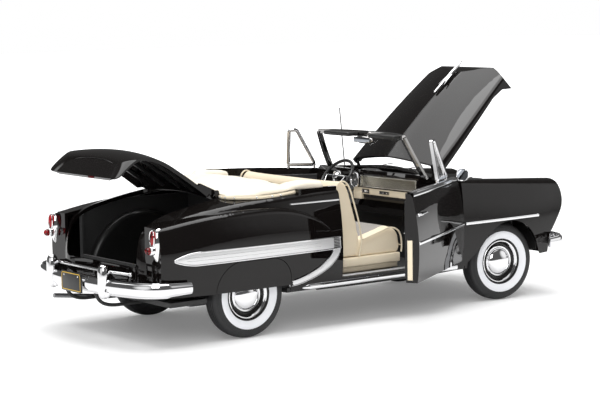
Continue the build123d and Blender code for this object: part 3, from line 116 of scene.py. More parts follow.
def build_orange_peel_group() -> bpy.types.NodeTree:
    """Slow, very shallow ripple of sprayed enamel, as a height.

    Returns:
        The node tree.
    """
    tree, source, sink = new_group(
        GroupName.ORANGE_PEEL,
        [("Scale", "NodeSocketFloat", 220.0)],
        [("Height", "NodeSocketFloat")],
    )
    place = tree.nodes.new("ShaderNodeTexCoord")
    noise = tree.nodes.new("ShaderNodeTexNoise")
    noise.inputs["Detail"].default_value = 1.0
    tree.links.new(place.outputs["Object"], noise.inputs["Vector"])
    tree.links.new(source.outputs["Scale"], noise.inputs["Scale"])
    tree.links.new(noise.outputs["Fac"], sink.inputs["Height"])
    return tree


def build_dust_group() -> bpy.types.NodeTree:
    """Thin dust that settles on faces that look up, as a mask from 0 to 1.

    Returns:
        The node tree.
    """
    tree, source, sink = new_group(
        GroupName.DUST,
        [("Amount", "NodeSocketFloat", 0.2), ("Scale", "NodeSocketFloat", 60.0)],
        [("Mask", "NodeSocketFloat")],
    )
    place = tree.nodes.new("ShaderNodeTexCoord")
    noise = tree.nodes.new("ShaderNodeTexNoise")
    noise.inputs["Detail"].default_value = 5.0
    tree.links.new(place.outputs["Object"], noise.inputs["Vector"])
    tree.links.new(source.outputs["Scale"], noise.inputs["Scale"])
    geometry = tree.nodes.new("ShaderNodeNewGeometry")
    split = tree.nodes.new("ShaderNodeSeparateXYZ")
    tree.links.new(geometry.outputs["Normal"], split.inputs["Vector"])
    up = math_node(tree, "MAXIMUM", split.outputs["Z"], 0.0)
    patchy = math_node(tree, "MULTIPLY", up, noise.outputs["Fac"])
    mask = math_node(tree, "MULTIPLY", patchy, source.outputs["Amount"])
    tree.links.new(mask, sink.inputs["Mask"])
    return tree


def math_node(tree: bpy.types.NodeTree, operation: str, *values: object) -> bpy.types.NodeSocket:
    """Adds a Math node; each value is a socket to link or a number to set.

    Args:
        tree: the node tree to add to.
        operation: the Math node's operation.
        values: one or two operands.

    Returns:
        The node's output socket.
    """
    node = tree.nodes.new("ShaderNodeMath")
    node.operation = operation
    for socket, value in zip(node.inputs, values):
        if isinstance(value, bpy.types.NodeSocket):
            tree.links.new(value, socket)
        else:
            socket.default_value = value
    return node.outputs["Value"]


GROUP_BUILDERS: dict[GroupName, Callable[[], bpy.types.NodeTree]] = {
    GroupName.ORANGE_PEEL: build_orange_peel_group,
    GroupName.DUST: build_dust_group,
    GroupName.GRAIN: build_grain_group,
}


# ------------------------------------------------------------------ finishes
class Shader:
    """A new node material with its Principled shader, and short ways to wire it."""

    def __init__(self, name: str) -> None:
        """Starts an empty material.

        Args:
            name: the material's name.
        """
        self.material = bpy.data.materials.new(name)
        self.material.use_nodes = True
        self.tree = self.material.node_tree
        self.principled = self.tree.nodes["Principled BSDF"]
        self.output = self.tree.nodes["Material Output"]

    def set(self, **values: object) -> "Shader":
        """Sets shader sockets by name, with underscores for spaces.

        Args:
            values: socket names and what to set them to.

        Returns:
            The shader itself.
        """
        for name, value in values.items():
            socket = self.principled.inputs[name.replace("_", " ")]
            socket.default_value = (*value, 1.0) if isinstance(value, tuple) and len(value) == 3 else value
        return self

    def node(self, kind: str, **sockets: object) -> bpy.types.Node:
        """Adds a node and sets or links its named inputs.

        Args:
            kind: the node's type name.
            sockets: input names, with underscores for spaces, and a value or a socket for each.

        Returns:
            The new node.
        """
        node = self.tree.nodes.new(kind)
        for name, value in sockets.items():
            socket = node.inputs[name.replace("_", " ")]
            if isinstance(value, bpy.types.NodeSocket):
                self.tree.links.new(value, socket)
            else:
                socket.default_value = value
        return node

    def group(self, name: GroupName, **sockets: object) -> bpy.types.Node:
        """Places a shared group with its own input values.

        Args:
            name: which shared group.
            sockets: input names, and a value or a socket for each.

        Returns:
            The placed node.
        """
        node = self.tree.nodes.new("ShaderNodeGroup")
        node.node_tree = shared_group(name)
        for label, value in sockets.items():
            node.inputs[label].default_value = value
        return node

    def link(self, source: bpy.types.NodeSocket, socket: str) -> None:
        """Links a socket to one of the shader's inputs."""
        self.tree.links.new(source, self.principled.inputs[socket])

    def bump(self, height: bpy.types.NodeSocket, distance: float, strength: float = 1.0) -> None:
        """Feeds a height into the shader's normal through a Bump node."""
        node = self.node("ShaderNodeBump", Height=height, Distance=distance, Strength=strength)
        self.link(node.outputs["Normal"], "Normal")

    def mix_colour(self, mask: bpy.types.NodeSocket, low: object, high: object) -> bpy.types.NodeSocket:
        """Mixes two colours by a mask and returns the result.

        Args:
            mask: a value from 0 to 1.
            low: the colour where the mask is 0.
            high: the colour where it is 1.

        Returns:
            The mixed colour's socket.
        """
        node = self.tree.nodes.new("ShaderNodeMix")
        node.data_type = "RGBA"
        self.tree.links.new(mask, node.inputs["Factor"])
        for socket, value in ((node.inputs[6], low), (node.inputs[7], high)):
            if isinstance(value, bpy.types.NodeSocket):
                self.tree.links.new(value, socket)
            else:
                socket.default_value = (*value, 1.0)
        return node.outputs[2]

    def object_axes(self) -> bpy.types.Node:
        """Object coordinates split into X, Y and Z."""
        place = self.node("ShaderNodeTexCoord")
        return self.node("ShaderNodeSeparateXYZ", Vector=place.outputs["Object"])


@dataclass(frozen=True)
class Enamel:
    """Deep gloss enamel with a faint orange peel under a clear coat."""

    name: str = "body_paint"
    colour: Colour = (0.0046, 0.0036, 0.0034)
    roughness: float = 0.25

    def build(self) -> bpy.types.Material:
        """Makes the material.

        Returns:
            The material.
        """
        shader = Shader(self.name)
        shader.set(Roughness=self.roughness, Specular_IOR_Level=0.0, Coat_Weight=1.0, Coat_Roughness=0.015,
                   Coat_IOR=1.40)
        peel = shader.group(GroupName.ORANGE_PEEL, Scale=260.0)
        shader.bump(peel.outputs["Height"], 0.00001, 0.25)
        dust = shader.group(GroupName.DUST, Amount=0.02, Scale=90.0)
        colour = shader.mix_colour(dust.outputs["Mask"], self.colour, (0.25, 0.24, 0.22))
        shader.link(colour, "Base Color")
        return shader.material


@dataclass(frozen=True)
class Plating:
    """Bright plating on metal or plastic, with faint unevenness."""

    name: str = "bright_chrome"
    colour: Colour = (0.86, 0.86, 0.87)
    roughness: float = 0.05

    def build(self) -> bpy.types.Material:
        """Makes the material.

        Returns:
            The material.
        """
        shader = Shader(self.name)
        shader.set(Base_Color=self.colour, Metallic=1.0)
        grain = shader.group(GroupName.GRAIN, Scale=400.0, Roughness=self.roughness, Spread=0.05)
        shader.link(grain.outputs["Roughness"], "Roughness")
        shader.bump(grain.outputs["Height"], 0.00001, 0.2)
        return shader.material


@dataclass(frozen=True)
class Brushed:
    """Bright metal with fine lines drawn along the car, half lost under a clear lacquer."""

    name: str
    colour: Colour = (0.84, 0.84, 0.84)
    shade: Colour = (0.66, 0.66, 0.67)
    lines: float = 520.0

    def build(self) -> bpy.types.Material:
        """Makes the material.

        Returns:
            The material.
        """
        shader = Shader(self.name)
        place = shader.node("ShaderNodeTexCoord")
        drawn = shader.node("ShaderNodeMapping", Vector=place.outputs["Object"], Scale=(0.02, 1.0, 1.0))
        noise = shader.node("ShaderNodeTexNoise", Vector=drawn.outputs["Vector"], Scale=self.lines, Detail=2.0)
        shader.link(shader.mix_colour(noise.outputs["Fac"], self.shade, self.colour), "Base Color")
        grain = shader.group(GroupName.GRAIN, Scale=300.0, Roughness=0.30, Spread=0.05)
        shader.link(grain.outputs["Roughness"], "Roughness")
        shader.bump(noise.outputs["Fac"], 0.000004, 0.3)
        shader.set(Metallic=0.45)
        return shader.material


@dataclass(frozen=True)
class Vinyl:
    """Soft satin vinyl with a leather-like grain and a tone that darkens in soft random patches."""

    name: str
    colour: Colour
    shade: Colour
    roughness: float = 0.45
    grain: float = 1500.0

    def build(self) -> bpy.types.Material:
        """Makes the material.

        Returns:
            The material.
        """
        shader = Shader(self.name)
        place = shader.node("ShaderNodeTexCoord")
        cells = shader.node("ShaderNodeTexVoronoi", Vector=place.outputs["Object"], Scale=self.grain)
        cloud = shader.node("ShaderNodeTexNoise", Vector=place.outputs["Object"], Scale=35.0, Detail=4.0)
        colour = shader.mix_colour(cloud.outputs["Fac"], self.shade, self.colour)
        shader.link(colour, "Base Color")
        grain = shader.group(GroupName.GRAIN, Scale=self.grain * 0.6, Roughness=self.roughness, Spread=0.12)
        shader.link(grain.outputs["Roughness"], "Roughness")
        shader.bump(cells.outputs["Distance"], 0.00004, 0.35)
        shader.set(Specular_IOR_Level=0.4, Sheen_Weight=0.08)
        return shader.material


@dataclass(frozen=True)
class SeatCloth:
    """Cream vinyl with a woven grey-beige cloth panel on the faces that the sitter touches."""

    name: str = "seat_two_tone"
    vinyl: Colour = (0.90, 0.79, 0.61)
    shade: Colour = (0.79, 0.67, 0.48)
    cloth: Colour = (0.45, 0.42, 0.38)
    thread: Colour = (0.30, 0.28, 0.26)
    end_mm: float = 35.5
    low_mm: float = 38.5
    behind_mm: float = 4.6
    front_mm: float = 24.5
    weave: float = 3200.0

    def build(self) -> bpy.types.Material:
        """Makes the material: a mask by place keeps the cloth inside its border.

        Returns:
            The material.
        """
        shader = Shader(self.name)
        axes = shader.object_axes()
        tree = shader.tree
        across = math_node(tree, "ABSOLUTE", axes.outputs["Y"])
        inside = math_node(tree, "LESS_THAN", across, self.end_mm * MM)
        place = shader.node("ShaderNodeTexCoord")
        threads = [shader.node("ShaderNodeTexWave", Vector=place.outputs["Object"], Scale=self.weave / 6.0,
                               Distortion=0.4)
                   for _ in range(2)]
        threads[1].bands_direction = "Y"
        weave = math_node(tree, "MULTIPLY", threads[0].outputs["Fac"], threads[1].outputs["Fac"])
        cloud = shader.node("ShaderNodeTexNoise", Vector=place.outputs["Object"], Scale=35.0, Detail=4.0)
        vinyl = shader.mix_colour(cloud.outputs["Fac"], self.shade, self.vinyl)
        cloth = shader.mix_colour(weave, self.thread, self.cloth)
        top = math_node(tree, "GREATER_THAN", axes.outputs["Z"], self.low_mm * MM)
        ahead = math_node(tree, "GREATER_THAN", axes.outputs["X"], -self.behind_mm * MM)
        reach = math_node(tree, "LESS_THAN", axes.outputs["X"], self.front_mm * MM)
        mask = math_node(tree, "MULTIPLY", inside,
                         math_node(tree, "MULTIPLY", top, math_node(tree, "MULTIPLY", ahead, reach)))
        shader.link(shader.mix_colour(mask, vinyl, cloth), "Base Color")
        grain = shader.group(GroupName.GRAIN, Scale=900.0, Roughness=0.5, Spread=0.12)
        rough = math_node(tree, "MULTIPLY_ADD", mask, 0.35, grain.outputs["Roughness"])
        shader.link(rough, "Roughness")
        shader.bump(weave, 0.00004, 0.4)
        shader.set(Specular_IOR_Level=0.35, Sheen_Weight=0.1)
        return shader.material


@dataclass(frozen=True)
class Plain:
    """Moulded or cast surface with a fine grain, for black plastic, carpet, rubber and plain steel."""

    name: str
    colour: Colour
    roughness: float
    grain: float = 900.0
    depth: float = 0.00003
    metallic: float = 0.0
    sheen: float = 0.0
    dust: float = 0.05

    def build(self) -> bpy.types.Material:
        """Makes the material.

        Returns:
            The material.
        """
        shader = Shader(self.name)
        shader.set(Metallic=self.metallic, Sheen_Weight=self.sheen)
        dust = shader.group(GroupName.DUST, Amount=self.dust, Scale=70.0)
        colour = shader.mix_colour(dust.outputs["Mask"], self.colour, (0.30, 0.28, 0.25))
        shader.link(colour, "Base Color")
        grain = shader.group(GroupName.GRAIN, Scale=self.grain, Roughness=self.roughness, Spread=0.15)
        shader.link(grain.outputs["Roughness"], "Roughness")
        shader.bump(grain.outputs["Height"], self.depth, 0.6)
        return shader.material


@dataclass(frozen=True)
class Clear:
    """Clear or tinted glass and lens plastic."""

    name: str
    colour: Colour
    roughness: float = 0.0
    ior: float = 1.45

    def build(self) -> bpy.types.Material:
        """Makes the material.

        Returns:
            The material.
        """
        shader = Shader(self.name)
        shader.set(Base_Color=self.colour, Transmission_Weight=1.0, Roughness=self.roughness, IOR=self.ior)
        peel = shader.group(GroupName.ORANGE_PEEL, Scale=120.0)
        shader.bump(peel.outputs["Height"], 0.000005, 0.1)
        return shader.material


# ------------------------------------------------------------------ mesh building
class Form:
    """A mesh under construction, in millimetres, with short ways to add turned, swept and panelled shapes."""

    def __init__(self) -> None:
        """Starts an empty mesh."""
        self.bm = bmesh.new()
        self.finish = 0

    def face(self, corners: Sequence[bmesh.types.BMVert]) -> None:
        """Adds a face with the current finish, skipping collapsed ones.

        Args:
            corners: its vertices, in order.
        """
        unique = list(dict.fromkeys(corners))
        if len(unique) > 2:
            self.bm.faces.new(unique).material_index = self.finish

    def rings(self, rings: Sequence[Sequence[bmesh.types.BMVert]], closed: bool,
              marks: Sequence[int] = ()) -> None:
        """Joins neighbouring rings of vertices with quads.

        Args:
            rings: rows of vertices; a row of one vertex is a tip.
            closed: whether each row runs round to its start.
            marks: finish index of each gap between rows, or nothing to keep the current one.
        """
        for index, (low, high) in enumerate(zip(rings, rings[1:])):
            if marks:
                self.finish = marks[index]
            count = max(len(low), len(high))
            for step in range(count if closed else count - 1):
                following = (step + 1) % count
                a, b = low[step % len(low)], low[following % len(low)]
                c, d = high[following % len(high)], high[step % len(high)]
                self.face((a, b, c, d))

    def lathe(self, profile: Sequence[tuple[float, float]], centre: Point, axis: Point, segments: int = 96,
              marks: Sequence[int] = ()) -> "Form":
        """Turns a profile about an axis.

        Args:
            profile: radius and distance along the axis of each point.
            centre: where the distance along the axis is nought.
            axis: direction of the axis.
            segments: number of facets round the axis.
            marks: finish index of each profile stretch.

        Returns:
            The form itself.
        """
        along = Vector(axis).normalized()
        side = along.orthogonal().normalized()
        other = along.cross(side)
        rows = []
        for radius, distance in profile:
            middle = Vector(centre) + along * distance
            if radius < 1e-6:
                rows.append([self.bm.verts.new(middle)])
                continue
            turns = (2 * math.pi * step / segments for step in range(segments))
            rows.append([self.bm.verts.new(middle + radius * (math.cos(a) * side + math.sin(a) * other))
                         for a in turns])
        self.rings(rows, True, marks)
        return self

    def sweep(self, path: Sequence[Point], section: Sequence[tuple[float, float]], up: Point = (0, 0, 1),
              sizes: Sequence[float] = ()) -> "Form":
        """Carries a closed section along a path and caps its ends.

        Args:
            path: points of the path.
            section: sideways and upward offsets of the section's points.
            up: direction that the section's second offset follows.
            sizes: scale of the section at each path point, or nothing for a constant one.

        Returns:
            The form itself.
        """
        points = [Vector(point) for point in path]
        rows = []
        for index, point in enumerate(points):
            before, after = points[max(index - 1, 0)], points[min(index + 1, len(points) - 1)]
            tangent = (after - before).normalized()
            side = tangent.cross(Vector(up)).normalized()
            upright = side.cross(tangent)
            size = sizes[index] if sizes else 1.0
            rows.append([self.bm.verts.new(point + size * (u * side + v * upright)) for u, v in section])
        self.rings(rows, True)
        self.face(list(reversed(rows[0])))
        self.face(rows[-1])
        return self

    def tube(self, path: Sequence[Point], radius: float, sides: int = 12, up: Point = (0, 0, 1)) -> "Form":
        """Adds a round bar along a path."""
        turns = (2 * math.pi * step / sides for step in range(sides))
        return self.sweep(path, [(radius * math.cos(a), radius * math.sin(a)) for a in turns], up)

    def ball(self, centre: Point, radii: Point, segments: int = 32) -> "Form":
        """Adds an ellipsoid.

        Args:
            centre: its middle.
            radii: its half sizes along X, Y and Z.
            segments: number of facets round it.

        Returns:
            The form itself.
        """
        before = set(self.bm.verts)
        self.lathe([(math.sin(math.pi * i / 16), -math.cos(math.pi * i / 16)) if 0 < i < 16 else (0.0,
            i / 8 - 1.0)
                    for i in range(17)], (0, 0, 0), (0, 0, 1), segments)
        for vert in set(self.bm.verts) - before:
            vert.co = Vector(centre) + Vector(c * r for c, r in zip(vert.co, radii))
        return self

    def prism(self, outline: Sequence[tuple[float, float]], y0: float, y1: float, bevel: float = 0.0) -> "Form":
        """Extrudes a side-view outline (x, z) between two Y planes, with its edges bevelled.

        Args:
            outline: its (x, z) corners.
            y0: where one end lies.
            y1: where the other end lies.
            bevel: width of the bevelled edges.

        Returns:
            The form itself.
        """
        low = [self.bm.verts.new((x, y0, z)) for x, z in outline]
        high = [self.bm.verts.new((x, y1, z)) for x, z in outline]
        before = set(self.bm.faces)
        self.rings([low, high], True)
        self.face(list(reversed(low)))
        self.face(high)
        faces = [f for f in self.bm.faces if f not in before]
        bmesh.ops.recalc_face_normals(self.bm, faces=faces)
        if bevel:
            edges = list({edge for f in faces for edge in f.edges})
            bmesh.ops.bevel(self.bm, geom=edges, offset=bevel, segments=3, profile=0.5, affect="EDGES",
                            clamp_overlap=True)
        return self

    def block(self, low: Point, high: Point, bevel: float) -> "Form":
        """Adds a box between two corners with round edges."""
        outline = [(low[0], low[2]), (high[0], low[2]), (high[0], high[2]), (low[0], high[2])]
        return self.prism(outline, low[1], high[1], bevel)

    def grid(self, rows: Sequence[Sequence[Point]], closed: bool = False) -> "Form":
        """Adds a sheet through rows of points."""
        self.rings([[self.bm.verts.new(point) for point in row] for row in rows], closed)
        return self

    def turned(self, matrix: Matrix) -> "Form":
        """Moves everything made so far."""
        bmesh.ops.transform(self.bm, matrix=matrix, verts=self.bm.verts)
        return self

    def mesh(self, name: str, sharp_deg: float = 38.0) -> bpy.types.Mesh:
        """Finishes the mesh in metres, smooth but for edges sharper than an angle.

        Args:
            name: the mesh's name.
            sharp_deg: edges sharper than this stay sharp.

        Returns:
            The mesh, in metres.
        """
        bmesh.ops.remove_doubles(self.bm, verts=self.bm.verts, dist=1e-5)
        bmesh.ops.recalc_face_normals(self.bm, faces=self.bm.faces)
        bmesh.ops.scale(self.bm, vec=(MM, MM, MM), verts=self.bm.verts)
        mesh = bpy.data.meshes.new(name)
        self.bm.to_mesh(mesh)
        self.bm.free()
        mesh.shade_smooth()
        mesh.set_sharp_from_angle(angle=math.radians(sharp_deg))
        return mesh


def rounded_path(points: Sequence[Point], radius: float, steps: int = 8) -> list[Point]:
    """Path with its corners rounded by short curves.

    Args:
        points: the corners.
        radius: how far before and after each corner its curve starts and ends.
        steps: points on each curve.

    Returns:
        The points of the rounded path.
    """
    corners = [Vector(point) for point in points]
    path = [corners[0]]
    for before, corner, after in zip(corners, corners[1:], corners[2:]):
        start = corner + (before - corner).normalized() * min(radius, (before - corner).length * 0.48)
        end = corner + (after - corner).normalized() * min(radius, (after - corner).length * 0.48)
        for step in range(steps + 1):
            t = step / steps
            path.append(start * (1 - t) ** 2 + corner * (2 * t * (1 - t)) + end * t ** 2)
    path.append(corners[-1])
    return [tuple(point) for point in path]


@dataclass(frozen=True)
class Swing:
    """An opening panel's hinge: it carries a point of the closed car to the open panel."""

    body: str
    point: Point
    axis: Point
    angle_deg: float

    def matrix(self) -> Matrix:
        """Transform from the closed to the open place, in millimetres."""
        pivot = Matrix.Translation(Vector(self.point))
        return pivot @ Matrix.Rotation(math.radians(self.angle_deg), 4, Vector(self.axis)) @ pivot.inverted()


class Panel(Enum):
    """The opening panels."""

    HOOD = Swing("hood", (48.0, 0.0, 66.3), (0, -1, 0), 46.4)
    LID = Swing("trunk_lid", (-76.5, 0.0, 67.9), (0, 1, 0), 45.0)
    RIGHT_DOOR = Swing("right_door", (61.0, -50.6, 0.0), (0, 0, 1), 32.0)
    LEFT_DOOR = Swing("left_door", (61.0, 50.6, 0.0), (0, 0, -1), 32.0)


@dataclass
class Workshop:
    """Holds the built finishes and turns forms into pieces that ride on a body."""

    finishes: dict[str, bpy.types.Material]
    count: int = 0

    def place(self, name: str, form: Form, body: str, finishes: Sequence[str], slot: str = "",
              replaces: Sequence[str] = (), sharp_deg: float = 38.0) -> bpy.types.Object:
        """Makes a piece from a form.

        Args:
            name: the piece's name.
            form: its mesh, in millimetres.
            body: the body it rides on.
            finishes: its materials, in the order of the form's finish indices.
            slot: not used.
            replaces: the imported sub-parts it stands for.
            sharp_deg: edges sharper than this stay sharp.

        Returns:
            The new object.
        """
        piece = bpy.data.objects.new(name, form.mesh(name, sharp_deg))
        for finish in finishes:
            piece.data.materials.append(self.finishes[finish])
        return self.fit(piece, body, slot, replaces)

    def fit(self, piece: bpy.types.Object, body: str, slot: str = "",
            replaces: Sequence[str] = ()) -> bpy.types.Object:
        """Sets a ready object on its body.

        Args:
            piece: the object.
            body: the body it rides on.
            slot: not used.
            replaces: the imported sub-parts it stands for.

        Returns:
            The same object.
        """
        if piece.name not in bpy.context.scene.collection.objects:
            bpy.context.scene.collection.objects.link(piece)
        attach(piece, body)
        if replaces:
            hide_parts(*replaces)
        self.count += 1
        LOG.info("%s on %s, %d faces", piece.name, body, len(piece.data.polygons))
        return piece


# ------------------------------------------------------------------ soft pieces
@dataclass(frozen=True)
class Upholstery:
    """Blows a closed form up a little, as stuffing does, and gives it a smooth crowned skin.

    The simulation runs at full-size car scale, where the cloth solver behaves, and is scaled back.
    """

    voxel_mm: float = 1.1
    pressure: float = 4.0
    cap_mm: float = 0.7
    shrink_mm: float = 0.45
    frames: int = 20
    scale: float = 18.0
    smooth_rounds: int = 6

    def build(self, name: str, form: Form) -> bpy.types.Object:
        """Makes the padded object.

        Args:
            name: its name.
            form: the closed shape it fills.

        Returns:
            The object, not yet on a body.
        """
        mesh = form.mesh(name)
        piece = bpy.data.objects.new(name, mesh)
        bpy.context.scene.collection.objects.link(piece)
        mesh.transform(Matrix.Scale(self.scale, 4))
        remesh = piece.modifiers.new("skin", "REMESH")
        remesh.mode = "VOXEL"
        remesh.voxel_size = self.voxel_mm * MM * self.scale
        remesh.use_smooth_shade = True
        relax = piece.modifiers.new("relax", "SMOOTH")
        relax.factor, relax.iterations = 0.5, self.smooth_rounds
        self.bake(piece)
        self.push(piece.data, lambda place, normal: -self.shrink_mm * self.scale)
        self.inflate(piece)
        even = piece.modifiers.new("even", "SMOOTH")
        even.factor, even.iterations = 0.5, 3
        finer = piece.modifiers.new("finer", "SUBSURF")
        finer.levels = finer.render_levels = 1
        self.bake(piece)
        piece.data.transform(Matrix.Scale(1 / self.scale, 4))
        piece.data.shade_smooth()
        return piece

    def inflate(self, piece: bpy.types.Object) -> None:
        """Runs the cloth under pressure with each point's travel capped; most points reach the cap.

        Args:
            piece: the closed object to inflate.
        """
        start = [vertex.co.copy() for vertex in piece.data.vertices]
        cloth = piece.modifiers.new("stuffing", "CLOTH")
        cloth.settings.use_pressure = True
        cloth.settings.uniform_pressure_force = self.pressure
        cloth.settings.effector_weights.gravity = 0.0
        cloth.settings.quality = 4
        cloth.point_cache.frame_start, cloth.point_cache.frame_end = 1, self.frames
        scene = bpy.context.scene
        for step in range(1, self.frames + 1):
            scene.frame_set(step)
        self.bake(piece)
        cap = self.cap_mm * MM * self.scale
        kept, held = 0.0, 0
        for vertex, origin in zip(piece.data.vertices, start):
            travel = vertex.co - origin
            kept = max(kept, min(travel.length, cap))
            if travel.length > cap:
                vertex.co = origin + travel.normalized() * cap
                held += 1
        piece.data.update()
        LOG.info("%s swelled by up to %.2f mm, with %d%% of its points held by the cap", piece.name,
                 kept / MM / self.scale, round(100 * held / len(start)))
        scene.frame_set(1)

    @staticmethod
    def push(mesh: bpy.types.Mesh, travel: Callable[[Vector, Vector], float]) -> None:
        """Moves each point along its normal.

        Args:
            mesh: the mesh to change.
            travel: gives the distance in millimetres for a point's place, in millimetres, and normal.
        """
        normals = [vertex.normal.copy() for vertex in mesh.vertices]
        places = []
        for vertex, normal in zip(mesh.vertices, normals):
            places.extend(vertex.co + normal * travel(vertex.co / MM, normal) * MM)
        mesh.vertices.foreach_set("co", places)
        mesh.update()

    @staticmethod
    def bake(piece: bpy.types.Object) -> None:
        """Applies the object's modifiers to its mesh.

        Args:
            piece: the object.
        """
        shape = bpy.data.meshes.new_from_object(piece.evaluated_get(bpy.context.evaluated_depsgraph_get()))
        piece.modifiers.clear()
        piece.data = shape


@dataclass
class SeatSet:
    """Front and rear bench: two-tone padded cushions and firm bases, with piping on the front one."""

    shop: Workshop
    half: float = 40.3
    rear_half: float = 41.3
    cushion: tuple[tuple[float, float], ...] = (
        (-1.5, 30.6), (28.4, 30.6), (28.9, 34.0), (28.2, 39.8), (25.6, 43.4), (20.5, 44.5), (-1.5, 38.8))
    back: tuple[tuple[float, float], ...] = (
        (-9.2, 30.2), (1.0, 30.2), (3.0, 39.0), (1.2, 48.5), (-3.4, 64.0), (-6.0, 69.0), (-10.4, 69.8),
        (-13.4, 66.4))
    piping_r: float = 0.42

    def build(self) -> None:
        """Makes both benches."""
        pad = Upholstery()
        form = Form().prism(self.cushion, -self.half, self.half, 1.2)
        self.soft(pad, "front_seat_cushion", form, 0.7, "seat_two_tone", ("front_seat",))
        form = Form().prism(self.back, -self.half, self.half, 1.2)
        self.soft(pad, "front_seat_back", form, 0.7, "seat_two_tone", ())
        self.make_skirt()
        self.make_piping()
        self.make_rear()

    def soft(self, pad: Upholstery, name: str, form: Form, fill: float, finish: str,
             replaces: Sequence[str]) -> None:
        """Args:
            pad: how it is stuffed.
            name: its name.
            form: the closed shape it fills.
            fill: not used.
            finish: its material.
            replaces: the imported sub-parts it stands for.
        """
        piece = pad.build(name, form)
        piece.data.materials.clear()
        piece.data.materials.append(self.shop.finishes[finish])
        self.shop.fit(piece, "body", "cream_vinyl", replaces)

    def make_skirt(self) -> None:
        """Firm base below the cushion, with its step and its foot on the carpet."""
        form = Form()
        form.block((-8.8, -self.half + 0.2, 26.2), (27.6, self.half - 0.2, 30.9), 0.7)
        form.block((-8.0, -self.half + 1.2, 23.6), (26.6, self.half - 1.2, 26.6), 0.5)
        for side in (-1, 1):
            form.block((-6.0, side * 9.0, 22.25), (25.0, side * 36.0, 24.0), 0.3)
        self.shop.place("front_seat_skirt", form, "body", ("cream_vinyl",), "cream_vinyl")

    def make_piping(self) -> None:
        """Welted seams round the ends of the cushion and back, and the roll line along the back's top."""
        form = Form()
        back = ((1.0, 31.0), (3.0, 39.2), (1.2, 48.5), (-3.5, 63.6), (-6.2, 68.4), (-10.2, 69.2),
                (-12.9, 66.0), (-9.6, 34.0))
        seat = ((3.4, 39.4), (20.4, 44.0), (25.4, 42.9), (27.9, 39.6), (28.5, 34.2), (28.0, 31.0))
        for side in (-1, 1):
            y = side * (self.half - 0.15)
            for line in (back, seat):
                path = rounded_path([(x, y, z) for x, z in line], 2.5)
                form.tube(path, self.piping_r, 10, (0, 1, 0))
        for x, x_mid, z, z_mid, inset, r in ((-5.0, -4.9, 66.6, 66.8, 0.4, 0.22),
                                             (28.4, 28.7, 34.4, 34.5, 0.3, 0.24),
                                             (-10.2, -10.4, 36.4, 36.5, 0.3, 0.24)):
            form.tube([(x, -self.half + inset, z), (x_mid, 0, z_mid), (x, self.half - inset, z)], r, 8)
        self.shop.place("front_seat_piping", form, "body", ("cream_piping",), "cream_vinyl")

    def make_rear(self) -> None:
        """Rear bench between the quarter walls."""
        pad = Upholstery(voxel_mm=1.5)
        seat = ((-37.6, 29.5), (-19.2, 29.5), (-18.4, 36.5), (-21, 38.6), (-37.6, 35.8))
        form = Form().prism(seat, -self.rear_half, self.rear_half, 1.0)
        self.soft(pad, "rear_seat_cushion", form, 0.6, "seat_two_tone", ("rear_seat",))
        back = ((-45.3, 29.0), (-38.0, 29.0), (-37.9, 38), (-40.8, 61.6), (-42.8, 63.4), (-45.9, 62.6))
        form = Form().prism(back, -self.rear_half, self.rear_half, 0.8)
        self.soft(pad, "rear_seat_back", form, 0.6, "seat_two_tone", ())
        form = Form().block((-44.0, -self.rear_half + 0.5, 25.9), (-20.0, self.rear_half - 0.5, 30.0), 0.5)
        for side in (-1, 1):
            form.block((-43.0, side * 5.2, 22.3), (-21.5, side * (self.rear_half - 1), 26.2), 0.3)
        self.shop.place("rear_seat_base", form, "body", ("cream_vinyl",), "cream_vinyl")


